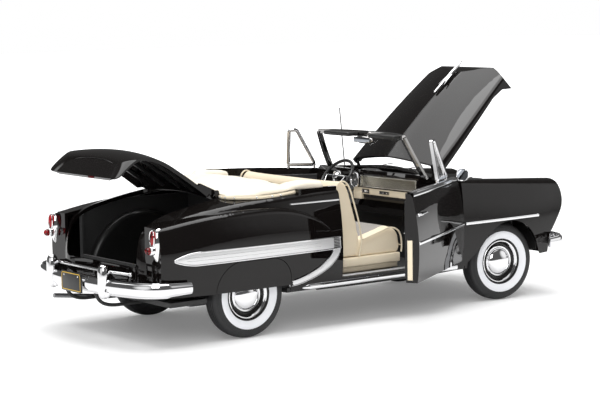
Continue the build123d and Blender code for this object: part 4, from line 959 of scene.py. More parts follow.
@dataclass
class BootCover:
    """Soft cover over the folded top: a lumpy crowned body with two wings, a hem and press studs."""

    shop: Workshop
    lump_mm: float = 0.55
    stud_r: float = 0.55

    def build(self) -> None:
        """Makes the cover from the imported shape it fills, then its hem and studs."""
        form = Form()
        form.bm.from_mesh(frame["nodes"]["top_boot"].data)
        bmesh.ops.scale(form.bm, vec=(1000, 1000, 1000), verts=form.bm.verts)
        piece = Upholstery(voxel_mm=0.9, cap_mm=0.5, shrink_mm=0.3, smooth_rounds=14).build("top_cover", form)
        Upholstery.push(piece.data, self.lump)
        piece.data.materials.clear()
        piece.data.materials.append(self.shop.finishes["cover_vinyl"])
        self.shop.fit(piece, "body", "cream_vinyl", ("top_boot",))
        self.make_hem()

    def lump(self, place: Vector, normal: Vector) -> float:
        """Height of the folded top's lumps and the cover's wrinkles at a place.

        Args:
            place: a point of the cover, in millimetres.
            normal: the normal there.

        Returns:
            How far the point moves along its normal, in millimetres.
        """
        lump = (math.sin(place.x * 0.21 + 0.4) * math.sin(place.y * 0.11)
                + 0.6 * math.sin(place.x * 0.47 + place.y * 0.19))
        wrinkle = 0.25 * math.sin(place.y * 0.55 + 2.0 * math.sin(place.x * 0.16))
        return max(normal.z, 0.0) * (lump * 0.6 + wrinkle - 0.35) * self.lump_mm

    def hem_line(self, side: int) -> list[Point]:
        """Lower edge of the cover from the middle of its rear round to one wing.

        Args:
            side: 1 for the left side, -1 for the right.

        Returns:
            The line's points.
        """
        corners = [(-75.0, 0, 67.9), (-75.0, side * 30.0, 66.1), (-74.4, side * 36.0, 65.6),
                   (-62.4, side * 43.4, 65.3), (-50.0, side * 44.0, 65.6), (-40.0, side * 43.4, 66.4)]
        return rounded_path(corners, 4.0)

    def make_hem(self) -> None:
        """Rolled hem with press studs along it."""
        hem, studs = Form(), Form()
        for side in (-1, 1):
            line = self.hem_line(side)
            hem.sweep(line, [(-0.35, -0.7), (0.5, -0.7), (0.75, 0), (0.5, 0.7), (-0.35, 0.7)])
            for index in range(3, len(line) - 1, 5):
                x, y, z = line[index]
                out = Vector((x + 55, y * 0.35, 0)).normalized() if x < -70 else Vector((0, side, 0))
                studs.lathe([(0.0, 1.25), (self.stud_r * 0.7, 1.1), (self.stud_r, 0.6), (self.stud_r, 0.3)],
                            (x, y, z), tuple(out), 16)
        self.shop.place("top_cover_hem", hem, "body", ("cream_piping",), "cream_vinyl")
        self.shop.place("top_cover_studs", studs, "body", ("bright_plating",), "bright_plating")


# ------------------------------------------------------------------ wheels
@dataclass
class WheelSet:
    """Whitewall tyres and domed wheel covers for the four corners."""

    shop: Workshop
    corners: tuple[str, ...] = ("front_right", "front_left", "rear_right", "rear_left")
    tyre_r: float = 20.1
    white_out_r: float = 15.8
    white_in_r: float = 11.9
    groove_depth: float = 0.35
    tread_blocks: int = 120

    def build(self) -> None:
        """Makes a tyre and a wheel at each corner, from the joint that turns it."""
        joints = {joint["name"]: joint for joint in frame["record"]["behaviour"]["joints"]}
        for corner in self.corners:
            joint = joints[f"{corner}_spin"]
            side = -1.0 if corner.endswith("right") else 1.0
            centre = tuple(value / MM for value in joint["pos_m"])
            outward = tuple(side * value for value in joint["axis"])
            body = f"{corner}_wheel"
            self.shop.place(f"{corner}_whitewall_tyre", self.tyre(centre, outward), body,
                            ("tyre_rubber", "white_rubber"), "tyre_rubber", (f"{corner}_tyre",), 30.0)
            self.shop.place(f"{corner}_wheel_cover", self.disc(centre, outward), body,
                            ("wheel_chrome", "wheel_black"), "wheel_chrome", (f"{corner}_wheel",), 30.0)

    def tyre(self, centre: Point, outward: Point) -> Form:
        """Tyre with grooved tread, moulded shoulder and a raised white band outside.

        Args:
            centre: the wheel's centre.
            outward: direction of its axle away from the car.

        Returns:
            The tyre's form.
        """
        r, deep = self.tyre_r, self.groove_depth
        outer = [
            (self.white_in_r - 0.6, 3.1), (self.white_in_r, 3.75), (self.white_in_r + 0.05, 3.95), (13.0, 4.55),
            (14.4, 4.78), (self.white_out_r - 0.25, 4.74), (self.white_out_r, 4.6),
            (self.white_out_r + 0.12, 4.52),
            (16.9, 4.5), (17.6, 4.36), (17.65, 4.2), (18.5, 4.06), (18.9, 3.86), (19.35, 3.6), (r - 0.45, 3.1),
        ]
        tread = []
        for middle in (2.3, 1.1, -0.1, -1.3, -2.5):
            crown = r - 0.02 - 0.045 * middle * middle
            tread += [(crown, middle + 0.35), (crown - deep, middle + 0.25), (crown - deep, middle - 0.05),
                      (crown, middle - 0.15)]
        inner = [(r - 0.45, -3.1), (19.35, -3.6), (18.5, -4.06), (16.0, -4.7), (13.6, -4.7), (11.7, -3.5),
                 (11.65, 3.0)]
        profile = outer + tread + inner
        white = [1 if 1 <= index <= 5 else 0 for index in range(len(profile) - 1)]
        form = Form().lathe(profile + profile[:1], centre, outward, self.tread_blocks, white + [0])
        return form

    def disc(self, centre: Point, outward: Point) -> Form:
        """Black wheel with a bright trim ring and a domed bright cap, hollow behind.

        Args:
            centre: the wheel's centre.
            outward: direction of its axle away from the car.

        Returns:
            The wheel's form.
        """
        profile = [
            (11.55, -3.4), (11.6, 3.3), (11.3, 3.65), (11.0, 3.5), (10.95, 3.2), (10.75, 3.35), (10.35, 3.25),
            (10.1, 2.75),
            (9.9, 2.2), (9.2, 1.2), (8.5, 0.9), (8.0, 1.1), (7.95, 1.75), (7.7, 2.05), (7.3, 2.0), (7.1, 1.9),
            (6.9, 2.25), (6.2, 3.0), (5.0, 3.75), (3.6, 4.25), (2.2, 4.52), (1.0, 4.64), (0.0, 4.67),
        ]
        marks = [1, 1, 1, 1, 0, 0, 0, 0, 1, 1, 1, 1, 0, 0, 0, 0, 0, 0, 0, 0, 0, 0]
        form = Form().lathe(profile, centre, outward, 96, marks)
        form.finish = 1
        form.lathe([(11.5, -3.4), (10.6, -3.3), (10.2, -0.6), (3.6, -0.6), (3.0, -1.0), (1.5, -1.0),
                    (1.5, 2.4), (0.0, 2.5)], centre, outward, 64)
        return form


# ------------------------------------------------------------------ bumpers and lamps
@dataclass
class BumperSet:
    """Bright bumpers: crowned wrap-around bars, bullet guards, the rear rail and the frame irons."""

    shop: Workshop
    guard_y: float = 23.4
    low: float = 25.0
    high: float = 32.0

    def build(self) -> None:
        """Makes the rear and the front bumper."""
        rear = [(-105.8, 52.6), (-126.2, 51.0), (-134.9, 21.8), (-134.9, -21.8), (-126.2, -51.0),
                (-105.8, -52.6)]
        form = self.bar(rear)
        for side in (-1, 1):
            y = side * self.guard_y
            self.guard(form, (-134.2, y), -1, 22.9, 39.0)
            form.finish = 1
            self.iron(form, -1, side * 13.5, 108.5)
            form.finish = 0
        rail = [(-126.4, -34.0, 34.6), (-131.8, -24.0, 35.4), (-132.2, 0.0, 35.5), (-131.8, 24.0, 35.4),
                (-126.4, 34.0, 34.6)]
        form.tube(rounded_path(rail, 5.0), 0.68, 14)
        for side in (-1, 1):
            form.ball((-126.4, side * 34.0, 34.6), (0.95, 0.95, 0.95), 16)
        self.shop.place("rear_bumper_set", form, "body", ("bright_plating", "chassis_black"), "bright_plating",
                        ("rear_bumper",))
        front = [(117.6, -53.4), (129.6, -52.4), (135.4, -23.8), (135.4, 23.8), (129.6, 52.4), (117.6, 53.4)]
        form = self.bar(front)
        for side in (-1, 1):
            self.guard(form, (134.6, side * self.guard_y), 1, 23.5, 39.5)
            form.finish = 1
            self.iron(form, 1, side * 13.5, 112.4)
            form.finish = 0
        self.shop.place("front_bumper_set", form, "body", ("bright_plating", "chassis_black"),
                        "bright_plating", ("front_bumper",))

    def bar(self, plan: Sequence[tuple[float, float]]) -> Form:
        """Crowned bar along a plan path, with a thin flange above and below and rounded ends.

        Args:
            plan: its path as seen from above.

        Returns:
            The bar's form.
        """
        middle = (self.low + self.high) / 2
        path = rounded_path([(x, y, middle) for x, y in plan], 13.0, 10)
        half = (self.high - self.low) / 2
        sizes = [min(1.0, 0.72 + 0.14 * min(i, len(path) - 1 - i)) for i in range(len(path))]
        section = [(-0.75, half * 0.7), (-0.2, half), (0.55, half), (0.75, half * 0.86)]
        section += [(0.75 + 1.05 * math.cos(math.pi * t / 2) ** 0.8, half * 0.80 * math.sin(math.pi * t / 2))
                    for t in (0.8, 0.6, 0.4, 0.2, 0.0, -0.2, -0.4, -0.6, -0.8)]
        section += [(0.75, -half * 0.86), (0.55, -half), (-0.2, -half), (-0.75, -half * 0.7)]
        return Form().sweep(path, [(u * self.outward(plan), v) for u, v in section], sizes=sizes)

    @staticmethod
    def outward(plan: Sequence[tuple[float, float]]) -> float:
        """Sign that points the section away from the car for a path direction."""
        (x0, y0), (x1, y1) = plan[2], plan[3]
        return 1.0 if (y1 - y0) * (x0 + x1) > 0 else -1.0

    @staticmethod
    def iron(form: Form, ahead: int, y: float, start: float) -> None:
        """Frame iron that runs out level from the chassis and curves up behind the bar.

        Args:
            form: the form to add to.
            ahead: 1 at the front of the car, -1 at the rear.
            y: its place across the car.
            start: how far along the car from the origin it starts.
        """
        path = [(ahead * start, y, 17.8), (ahead * 125.5, y, 17.8), (ahead * 131.5, y, 20.6),
                (ahead * 133.6, y, 27.6)]
        form.tube(rounded_path(path, 5.0, 5), 0.85, 14, (0, 1, 0))

    @staticmethod
    def guard(form: Form, place: tuple[float, float], ahead: int, low: float, high: float) -> None:
        """Upright bullet guard with a spread foot.

        Args:
            form: the form to add to.
            place: X and Y of its axis.
            ahead: 1 at the front of the car, -1 at the rear.
            low: height of its foot.
            high: height of its top.
        """
        x, y = place
        profile = [(0.0, high), (1.0, high - 0.15), (1.9, high - 0.8), (2.5, high - 2.0), (2.8, high - 3.8),
                   (2.85, low + 6.0), (2.7, low + 3.0), (2.2, low + 1.0), (1.2, low + 0.2), (0.0, low)]
        form.lathe(profile, (x, y, 0.0), (0, 0, 1), 40)
        for side in (-1, 1):
            form.ball((x - ahead * 0.2, y + side * 2.6, low + 3.4), (1.5, 2.0, 2.6), 24)


@dataclass
class LampSet:
    """Tail lamps with teardrop housings and round reflectors, and domed headlamps."""

    shop: Workshop
    tail_y: float = 45.8
    head_y: float = 39.5
    head_z: float = 52.0

    def build(self) -> None:
        """Makes the four lamps."""
        housing, lens = Form(), Form()
        for side in (-1, 1):
            y = side * self.tail_y
            before = len(housing.bm.verts)
            housing.ball((-118.0, y, 48.2), (4.0, 2.6, 8.0), 40)
            housing.bm.verts.ensure_lookup_table()
            for vert in list(housing.bm.verts)[before:]:
                height = (vert.co.z - 48.4) / 8.2
                vert.co.y = y + (vert.co.y - y) * (1.0 - 0.30 * max(-height, 0.0))
                vert.co.x = -117.0 if vert.co.x > -117.0 else vert.co.x
            housing.lathe([(2.15, -0.4), (2.1, 0.9), (1.75, 1.5), (1.5, 1.6)], (-121.9, y, 46.2), (-1, 0, 0),
                          32)
            housing.sweep([(-122.0, y + 1.9 * math.sin(a), 51.6 + 3.8 * math.cos(a)) for a in
                           (2 * math.pi * step / 32 for step in range(33))],
                           [(0.25, 0.0), (0, 0.3), (-0.25, 0), (0, -0.3)], (1, 0, 0))
            lens.ball((-121.4, y, 51.6), (1.5, 1.75, 3.6), 32)
            lens.ball((-123.9, y, 46.2), (1.85, 1.65, 1.65), 32)
        self.shop.place("tail_lamp_teardrops", housing, "body", ("bright_plating",), "bright_plating",
                        ("tail_lamp_housings",))
        self.shop.place("tail_lamp_reds", lens, "body", ("red_lens",), "red_lens", ("tail_lamp_lenses",))
        self.make_heads()

    def make_heads(self) -> None:
        """Bezel, reflector and fluted lens of each headlamp."""
        bezel, glass = Form(), Form()
        for side in (-1, 1):
            centre = (128.0, side * self.head_y, self.head_z)
            bezel.lathe([(4.9, 0.4), (5.35, 1.2), (5.4, 4.3), (5.35, 5.2), (5.25, 5.6), (5.15, 5.4),
                         (5.1, 5.0), (5.05, 4.4)], centre, (1, 0, 0), 64)
            bezel.lathe([(0.0, 1.2), (1.4, 1.3), (3.0, 1.9), (4.2, 2.9), (5.1, 4.4)], centre, (1, 0, 0), 48)
            glass.lathe([(0.0, 5.6), (1.6, 5.52), (3.2, 5.3), (4.5, 4.9), (5.15, 4.4), (5.15, 4.0), (4.4, 4.4),
                         (3.1, 4.8), (1.5, 5.05), (0.0, 5.1)], centre, (1, 0, 0), 48)
        self.shop.place("headlamp_rims", bezel, "body", ("bright_plating",), "bright_plating",
                        ("headlamp_bezels",))
        self.shop.place("headlamp_fluted_glass", glass, "body", ("fluted_glass",), "clear_glass",
                        ("headlamp_lenses",))


@dataclass
class GrilleSet:
    """Rounded grille bars with five teeth, the radiator behind them, and the blank plate at the rear."""

    shop: Workshop
    half: float = 36.2

    def build(self) -> None:
        """Makes the grille, the radiator's core and the plate."""
        form = Form()
        for z, x, height, depth in ((33.8, 122.6, 1.7, 2.2), (27.2, 122.2, 1.0, 1.3), (40.2, 122.0, 0.9, 1.2)):
            path = [(x, -self.half, z), (x + 1.2, -self.half * 0.5, z), (x + 1.6, 0, z),
                    (x + 1.2, self.half * 0.5, z), (x, self.half, z)]
            section = [(height * math.cos(a) * depth / height, height * math.sin(a)) for a in
                       (2 * math.pi * step / 20 for step in range(20))]
            form.sweep(rounded_path(path, 8.0, 4), section)
        for y in (-24.0, -12.0, 0.0, 12.0, 24.0):
            form.ball((124.0, y, 33.8), (2.2, 1.9, 4.6), 28)
        for side in (-1, 1):
            form.ball((123.0, side * 31.0, 30.4), (1.7, 3.0, 2.0), 28)
            form.block((118.9, side * 12.2, 26.6), (122.0, side * 15.8, 40.9), 0.3)
        self.shop.place("grille_bars", form, "body", ("bright_plating",), "bright_plating", ("grille",))
        self.make_core()
        self.make_plate()

    def make_core(self) -> None:
        """Radiator with its tanks, fins and cap, and the splash panel on each side."""
        form = Form()
        form.block((115.7, -19.8, 21.1), (118.5, 19.8, 26.0), 0.5)
        form.block((115.7, -19.8, 50.5), (118.5, 19.8, 55.8), 0.8)
        fins = 46
        rows = []
        for step in range(fins * 2 + 1):
            y = -19.2 + 38.4 * step / (fins * 2)
            rows.append([(118.1 + (0.22 if step % 2 else -0.05), y, z) for z in (25.8, 38.0, 50.8)])
        form.grid(rows)
        form.block((115.9, -19.6, 25.5), (117.9, 19.6, 51.0), 0.2)
        form.lathe([(0.0, 1.2), (1.6, 1.15), (1.9, 0.8), (1.9, 0.2), (1.4, 0.0), (1.4, -0.6)],
                   (117.1, 0, 55.6), (0, 0, 1), 28)
        self.shop.place("radiator_core", form, "body", ("chassis_black",), "chassis_black", ("radiator",))
        splash = Form()
        for side in (-1, 1):
            y0, y1 = sorted((side * 26.0, side * 44.0))
            splash.block((117.0, y0, 24.0), (117.8, y1, 45.0), 0.3)
        self.shop.place("splash_panels", splash, "body", ("chassis_black",), "chassis_black")

    def make_plate(self) -> None:
        """Blank plate with a raised rim, in its bright holder with two screws."""
        form = Form()
        form.block((-137.85, -9.0, 24.2), (-137.3, 9.0, 33.4), 0.25)
        form.finish = 1
        rim = rounded_path([(-137.86, -8.3, 24.9), (-137.86, 8.3, 24.9), (-137.86, 8.3, 32.7),
                            (-137.86, -8.3, 32.7), (-137.86, -8.3, 24.9)], 1.2, 4)
        form.sweep(rim, [(0.18, 0.0), (0.0, 0.09), (-0.18, 0.0), (0.0, -0.09)], (1, 0, 0))
        form.finish = 2
        form.block((-137.3, -9.3, 24.0), (-137.1, 9.3, 33.3), 0.08)
        for y in (-6.2, 6.2):
            form.lathe([(0.0, 0.2), (0.35, 0.15), (0.45, 0.0)], (-137.72, y, 31.6), (-1, 0, 0), 16)
        self.shop.place("blank_plate", form, "body", ("plate_black", "plate_yellow", "bright_plating"),
                        "plate_yellow", ("licence_plate",))


# ------------------------------------------------------------------ cabin
WHEEL_HUB: Point = (33.5, 18.0, 64.5)
COLUMN_FOOT: Point = (44.0, 18.0, 55.5)
COLUMN_AXIS = (Vector(WHEEL_HUB) - Vector(COLUMN_FOOT)).normalized()


@dataclass
class SteeringWheel:
    """Two-spoke wheel with finger grips behind, a bright half horn ring and a domed hub."""

    shop: Workshop
    rim_r: float = 10.2
    grip_r: float = 0.85
    grips: int = 36
    ring_r: float = 7.4

    def build(self) -> None:
        """Makes the wheel in its own plane, then tilts it onto the column."""
        form = Form()
        segments, sides = 120, 14
        rows = []
        for step in range(segments):
            turn = 2 * math.pi * step / segments
            bump = 1.0 + 0.05 * math.cos(turn * self.grips)
            row = []
            for side in range(sides):
                a = 2 * math.pi * side / sides
                r = self.rim_r + self.grip_r * math.cos(a)
                row.append((r * math.cos(turn), r * math.sin(turn), self.grip_r * bump * math.sin(a)))
            rows.append(row)
        form.grid(rows + rows[:1], True)
        for side in (-1, 1):
            form.sweep([(side * 1.6, 0, 0.2), (side * 5.0, 0, -0.1), (side * 10.0, 0, 0.0)],
                       [(0.9, 0.25), (0.6, 0.45), (-0.6, 0.45), (-0.9, 0.25), (-0.6, -0.35), (0.6, -0.35)],
                       sizes=(1.2, 0.9, 0.75))
        form.lathe([(0.96, -0.8), (2.0, -0.7), (2.15, 0.3), (1.9, 0.8)], (0, 0, 0), (0, 0, 1), 40)
        form.finish = 1
        form.lathe([(1.95, 0.75), (1.8, 1.25), (1.2, 1.6), (0.5, 1.75), (0.0, 1.78)], (0, 0, 0), (0, 0, 1), 40)
        turns = [math.pi + math.pi * step / 30 for step in range(31)]
        ring = [(self.ring_r * math.cos(a), self.ring_r * math.sin(a), 0.7) for a in turns]
        form.tube([(-1.8, 0, 0.9), (-4.5, 0.0, 0.85)] + ring[:1], 0.28, 10)
        form.tube(ring, 0.28, 10)
        form.tube([(1.8, 0, 0.9), (4.5, 0.0, 0.85)] + ring[-1:], 0.28, 10)
        across = Vector((0, -1, 0))
        upward = COLUMN_AXIS.cross(across)
        turn = Matrix((across, upward, COLUMN_AXIS)).transposed().to_4x4()
        form.turned(Matrix.Translation(Vector(WHEEL_HUB)) @ turn)
        self.shop.place("steering_wheel_rim", form, "steering_wheel", ("black_plastic", "bright_plating"),
                        "black_plastic", ("steering_wheel",))


@dataclass
class Dashboard:
    """Bright ribbed instrument panel, dial pods, speaker pod, controls and the cream lower strip."""

    shop: Workshop
    dial_y: tuple[float, float] = (8.3, 23.0)
    dial_z: float = 62.9
    dial_r: float = 3.9
    face_x: float = 38.1

    def build(self) -> None:
        """Makes the panel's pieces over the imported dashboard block."""
        self.make_ribs()
        self.make_dials()
        self.make_strip()
        self.make_top()
        self.make_controls()

    def make_ribs(self) -> None:
        """Ribbed bright panel in front of the passenger, in a plain bright border."""
        form = Form()
        rows = []
        ribs = 9
        for step in range(ribs * 4 + 1):
            z = 60.4 + 4.8 * step / (ribs * 4)
            x = self.face_x - 0.25 - 0.16 * math.cos(2 * math.pi * step / 4)
            rows.append([(x, y, z) for y in (-40.4, -30.0, -20.0, -10.0, 0.0, 3.2)])
        form.grid(rows)
        for y in (-40.4, 3.2):
            form.block((self.face_x - 0.55, y - 0.4, 60.1), (self.face_x + 0.1, y + 0.4, 65.5), 0.15)
        form.block((self.face_x - 0.6, -40.6, 65.2), (self.face_x + 0.1, 3.4, 65.8), 0.2)
        form.block((self.face_x - 0.6, -40.6, 59.9), (self.face_x + 0.1, 3.4, 60.5), 0.2)
        self.shop.place("dash_ribbed_panel", form, "body", ("ribbed_bright",), "bright_plating")

    def make_dials(self) -> None:
        """Two round pods with bright bezels, dark dials with ticks, a needle and glass."""
        rim, dial, glass = Form(), Form(), Form()
        for y in self.dial_y:
            centre = (37.3, y, self.dial_z)
            r = self.dial_r
            rim.lathe([(r - 0.1, -1.4), (r, -0.4), (r - 0.05, 0.1), (r - 0.4, 0.3), (r - 0.7, 0.1),
                       (r - 0.8, -0.3)], centre, (-1, 0, 0), 48)
            dial.lathe([(0.0, -0.35), (r - 0.75, -0.35)], centre, (-1, 0, 0), 48)
            rim.finish = 1
            for step in range(13):
                a = math.radians(-120 + 20 * step)
                out = Vector((0, math.sin(a), math.cos(a)))
                middle = Vector((37.7, y, self.dial_z)) + out * (r - 1.35)
                rim.tube([tuple(middle - out * 0.3), tuple(middle + out * 0.3)], 0.05, 6, (1, 0, 0))
            rim.tube([(37.65, y, self.dial_z), (37.65, y - 1.3, self.dial_z + 1.5)], 0.07, 6, (1, 0, 0))
            rim.lathe([(0.0, 0.1), (0.4, 0.0), (0.45, -0.2)], (37.6, y, self.dial_z), (-1, 0, 0), 20)
            rim.finish = 0
            glass.lathe([(0.0, 0.12), (r * 0.5, 0.05), (r - 0.8, -0.1)], centre, (-1, 0, 0), 40)
        self.shop.place("gauge_bezels", rim, "body", ("bright_plating", "dial_white"), "wheel_chrome",
                        ("gauges",))
        self.shop.place("gauge_dials", dial, "body", ("dial_face",), "black_plastic")
        self.shop.place("gauge_glasses", glass, "body", ("clear_glass",), "clear_glass")

    def make_strip(self) -> None:
        """Cream lower strip with a deeper part, two small black control panels and their knobs."""
        form = Form()
        form.block((38.4, -36.0, 55.8), (40.2, 10.5, 59.4), 0.5)
        form.block((37.9, 3.4, 53.2), (40.4, 10.0, 57.2), 0.4)
        form.finish = 1
        form.block((38.1, -3.2, 56.4), (38.9, 3.0, 58.9), 0.2)
        form.block((38.1, -19.0, 56.7), (38.9, -11.0, 58.7), 0.2)
        form.finish = 2
        for y in (-2.2, 2.0, -17.8, -15.0, -12.2):
            form.lathe([(0.0, 0.9), (0.35, 0.8), (0.45, 0.5), (0.35, 0.2), (0.3, 0.0)], (38.1, y, 57.7),
                       (-1, 0, 0), 16)
        form.block((37.95, -1.2, 57.3), (38.3, 1.0, 58.2), 0.1)
        self.shop.place("dash_lower_strip", form, "body", ("cream_vinyl", "black_plastic", "bright_plating"),
                        "cream_vinyl")

    def make_top(self) -> None:
        """Speaker pod on the padded top, with the bright bars of its grille."""
        form = Form()
        form.ball((43.8, 2.0, 67.9), (2.6, 8.5, 0.75), 40)
        form.finish = 1
        for step in range(7):
            form.tube([(41.9 + step * 0.6, -2.6, 68.66), (41.9 + step * 0.6, 6.6, 68.66)], 0.1, 6)
        self.shop.place("dash_speaker_pod", form, "body", ("black_plastic", "bright_plating"), "black_plastic")

    def make_controls(self) -> None:
        """Column shroud, gear and signal levers, and the pedals."""
        form = Form().lathe([(0.95, -6.5), (1.35, -6.0), (1.5, -3.0), (1.4, -1.9), (0.95, -1.7)],
                            WHEEL_HUB, tuple(COLUMN_AXIS), 32)
        self.shop.place("column_shroud", form, "body", ("black_plastic",), "black_plastic")
        levers = Form()
        levers.tube([(35.6, 17.0, 62.4), (34.4, 10.0, 62.6), (33.8, 6.6, 62.9)], 0.28, 10)
        levers.ball((33.7, 6.3, 62.95), (0.7, 0.7, 0.7), 20)
        levers.tube([(35.6, 19.0, 62.4), (35.0, 23.5, 63.2)], 0.2, 8)
        self.shop.place("column_levers", levers, "body", ("bright_plating",), "bright_plating")
        pedals = Form()
        for y, wide in ((25.5, 2.4), (18.5, 2.8), (11.0, 1.7)):
            pedals.block((45.4, y - wide, 27.0), (46.4, y + wide, 31.0 if wide > 2 else 33.5), 0.35)
            pedals.tube([(46.4, y, 29.0), (50.5, y, 31.0), (54.6, y, 36.0)], 0.4, 8)
        self.shop.place("foot_pedals", pedals, "body", ("black_plastic",), "black_plastic")


# ------------------------------------------------------------------ mouldings and panels that lie on the body
class Skin:
    """The outer surface of a packed sub-part, to lay mouldings on."""

    def __init__(self, node: str, swing: Swing | None = None) -> None:
        """Reads the surface.

        Args:
            node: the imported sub-part.
            swing: the hinge that opened it, to work in its closed place.
        """
        form = bmesh.new()
        form.from_mesh(frame["nodes"][node].data)
        bmesh.ops.scale(form, vec=(1000, 1000, 1000), verts=form.verts)
        if swing:
            bmesh.ops.transform(form, matrix=swing.matrix().inverted(), verts=form.verts)
        self.tree = BVHTree.FromBMesh(form)
        form.free()

    def beside(self, x: float, z: float, side: int, proud: float = 0.0) -> Point:
        """Point of the side surface at a place in side view, standing proud by a distance.

        Args:
            x: station along the car.
            z: height.
            side: 1 for the left side, -1 for the right.
            proud: how far the point stands off the surface.

        Returns:
            The point.
        """
        place, normal, _, _ = self.tree.ray_cast(Vector((x, side * 90.0, z)), Vector((0, -side, 0)))
        if place is None:
            place, normal, _, _ = self.tree.find_nearest(Vector((x, side * 50.0, z)))
        if normal.y * side < 0:
            normal = -normal
        return tuple(place + normal * proud)

    def line(self, path: Sequence[tuple[float, float]], side: int, proud: float) -> list[Point]:
        """Side-view path laid on the surface."""
        return [self.beside(x, z, side, proud) for x, z in path]

    def laid(self, plan: Sequence[tuple[float, float]], start: float, up: int, gap: float) -> list[Point]:
        """Plan path carried straight up or down from a height onto the surface, then lowered by a gap.

        Args:
            plan: the path's (x, y) points.
            start: height from which the surface is looked for.
            up: 1 to look up, -1 to look down.
            gap: how far below the surface the points end.

        Returns:
            The points that met the surface.
        """
        line = []
        for x, y in plan:
            place, _, _, _ = self.tree.ray_cast(Vector((x, y, start)), Vector((0, 0, up)))
            if place:
                line.append((x, y, place.z - gap))
        return line


MOULDING = ((-0.3, -0.85), (0.35, -0.62), (0.55, 0.0), (0.35, 0.62), (-0.3, 0.85))


def moulding(side: int, depth: float = 1.0, height: float = 1.0) -> list[tuple[float, float]]:
    """Section of the thin side moulding, scaled, with its crown away from the car."""
    return [(-u * depth * side, v * height) for u, v in MOULDING]


def spaced(path: Sequence[tuple[float, float]], gap: float) -> list[tuple[float, float]]:
    """Adds points to a side-view path so that none are further apart than a gap.

    Args:
        path: the path's (x, z) points.
        gap: the longest distance left between two of them.

    Returns:
        The denser path.
    """
    out = [path[0]]
    for (x0, z0), (x1, z1) in zip(path, path[1:]):
        count = max(1, math.ceil(math.hypot(x1 - x0, z1 - z0) / gap))
        out += [(x0 + (x1 - x0) * i / count, z0 + (z1 - z0) * i / count) for i in range(1, count + 1)]
    return out


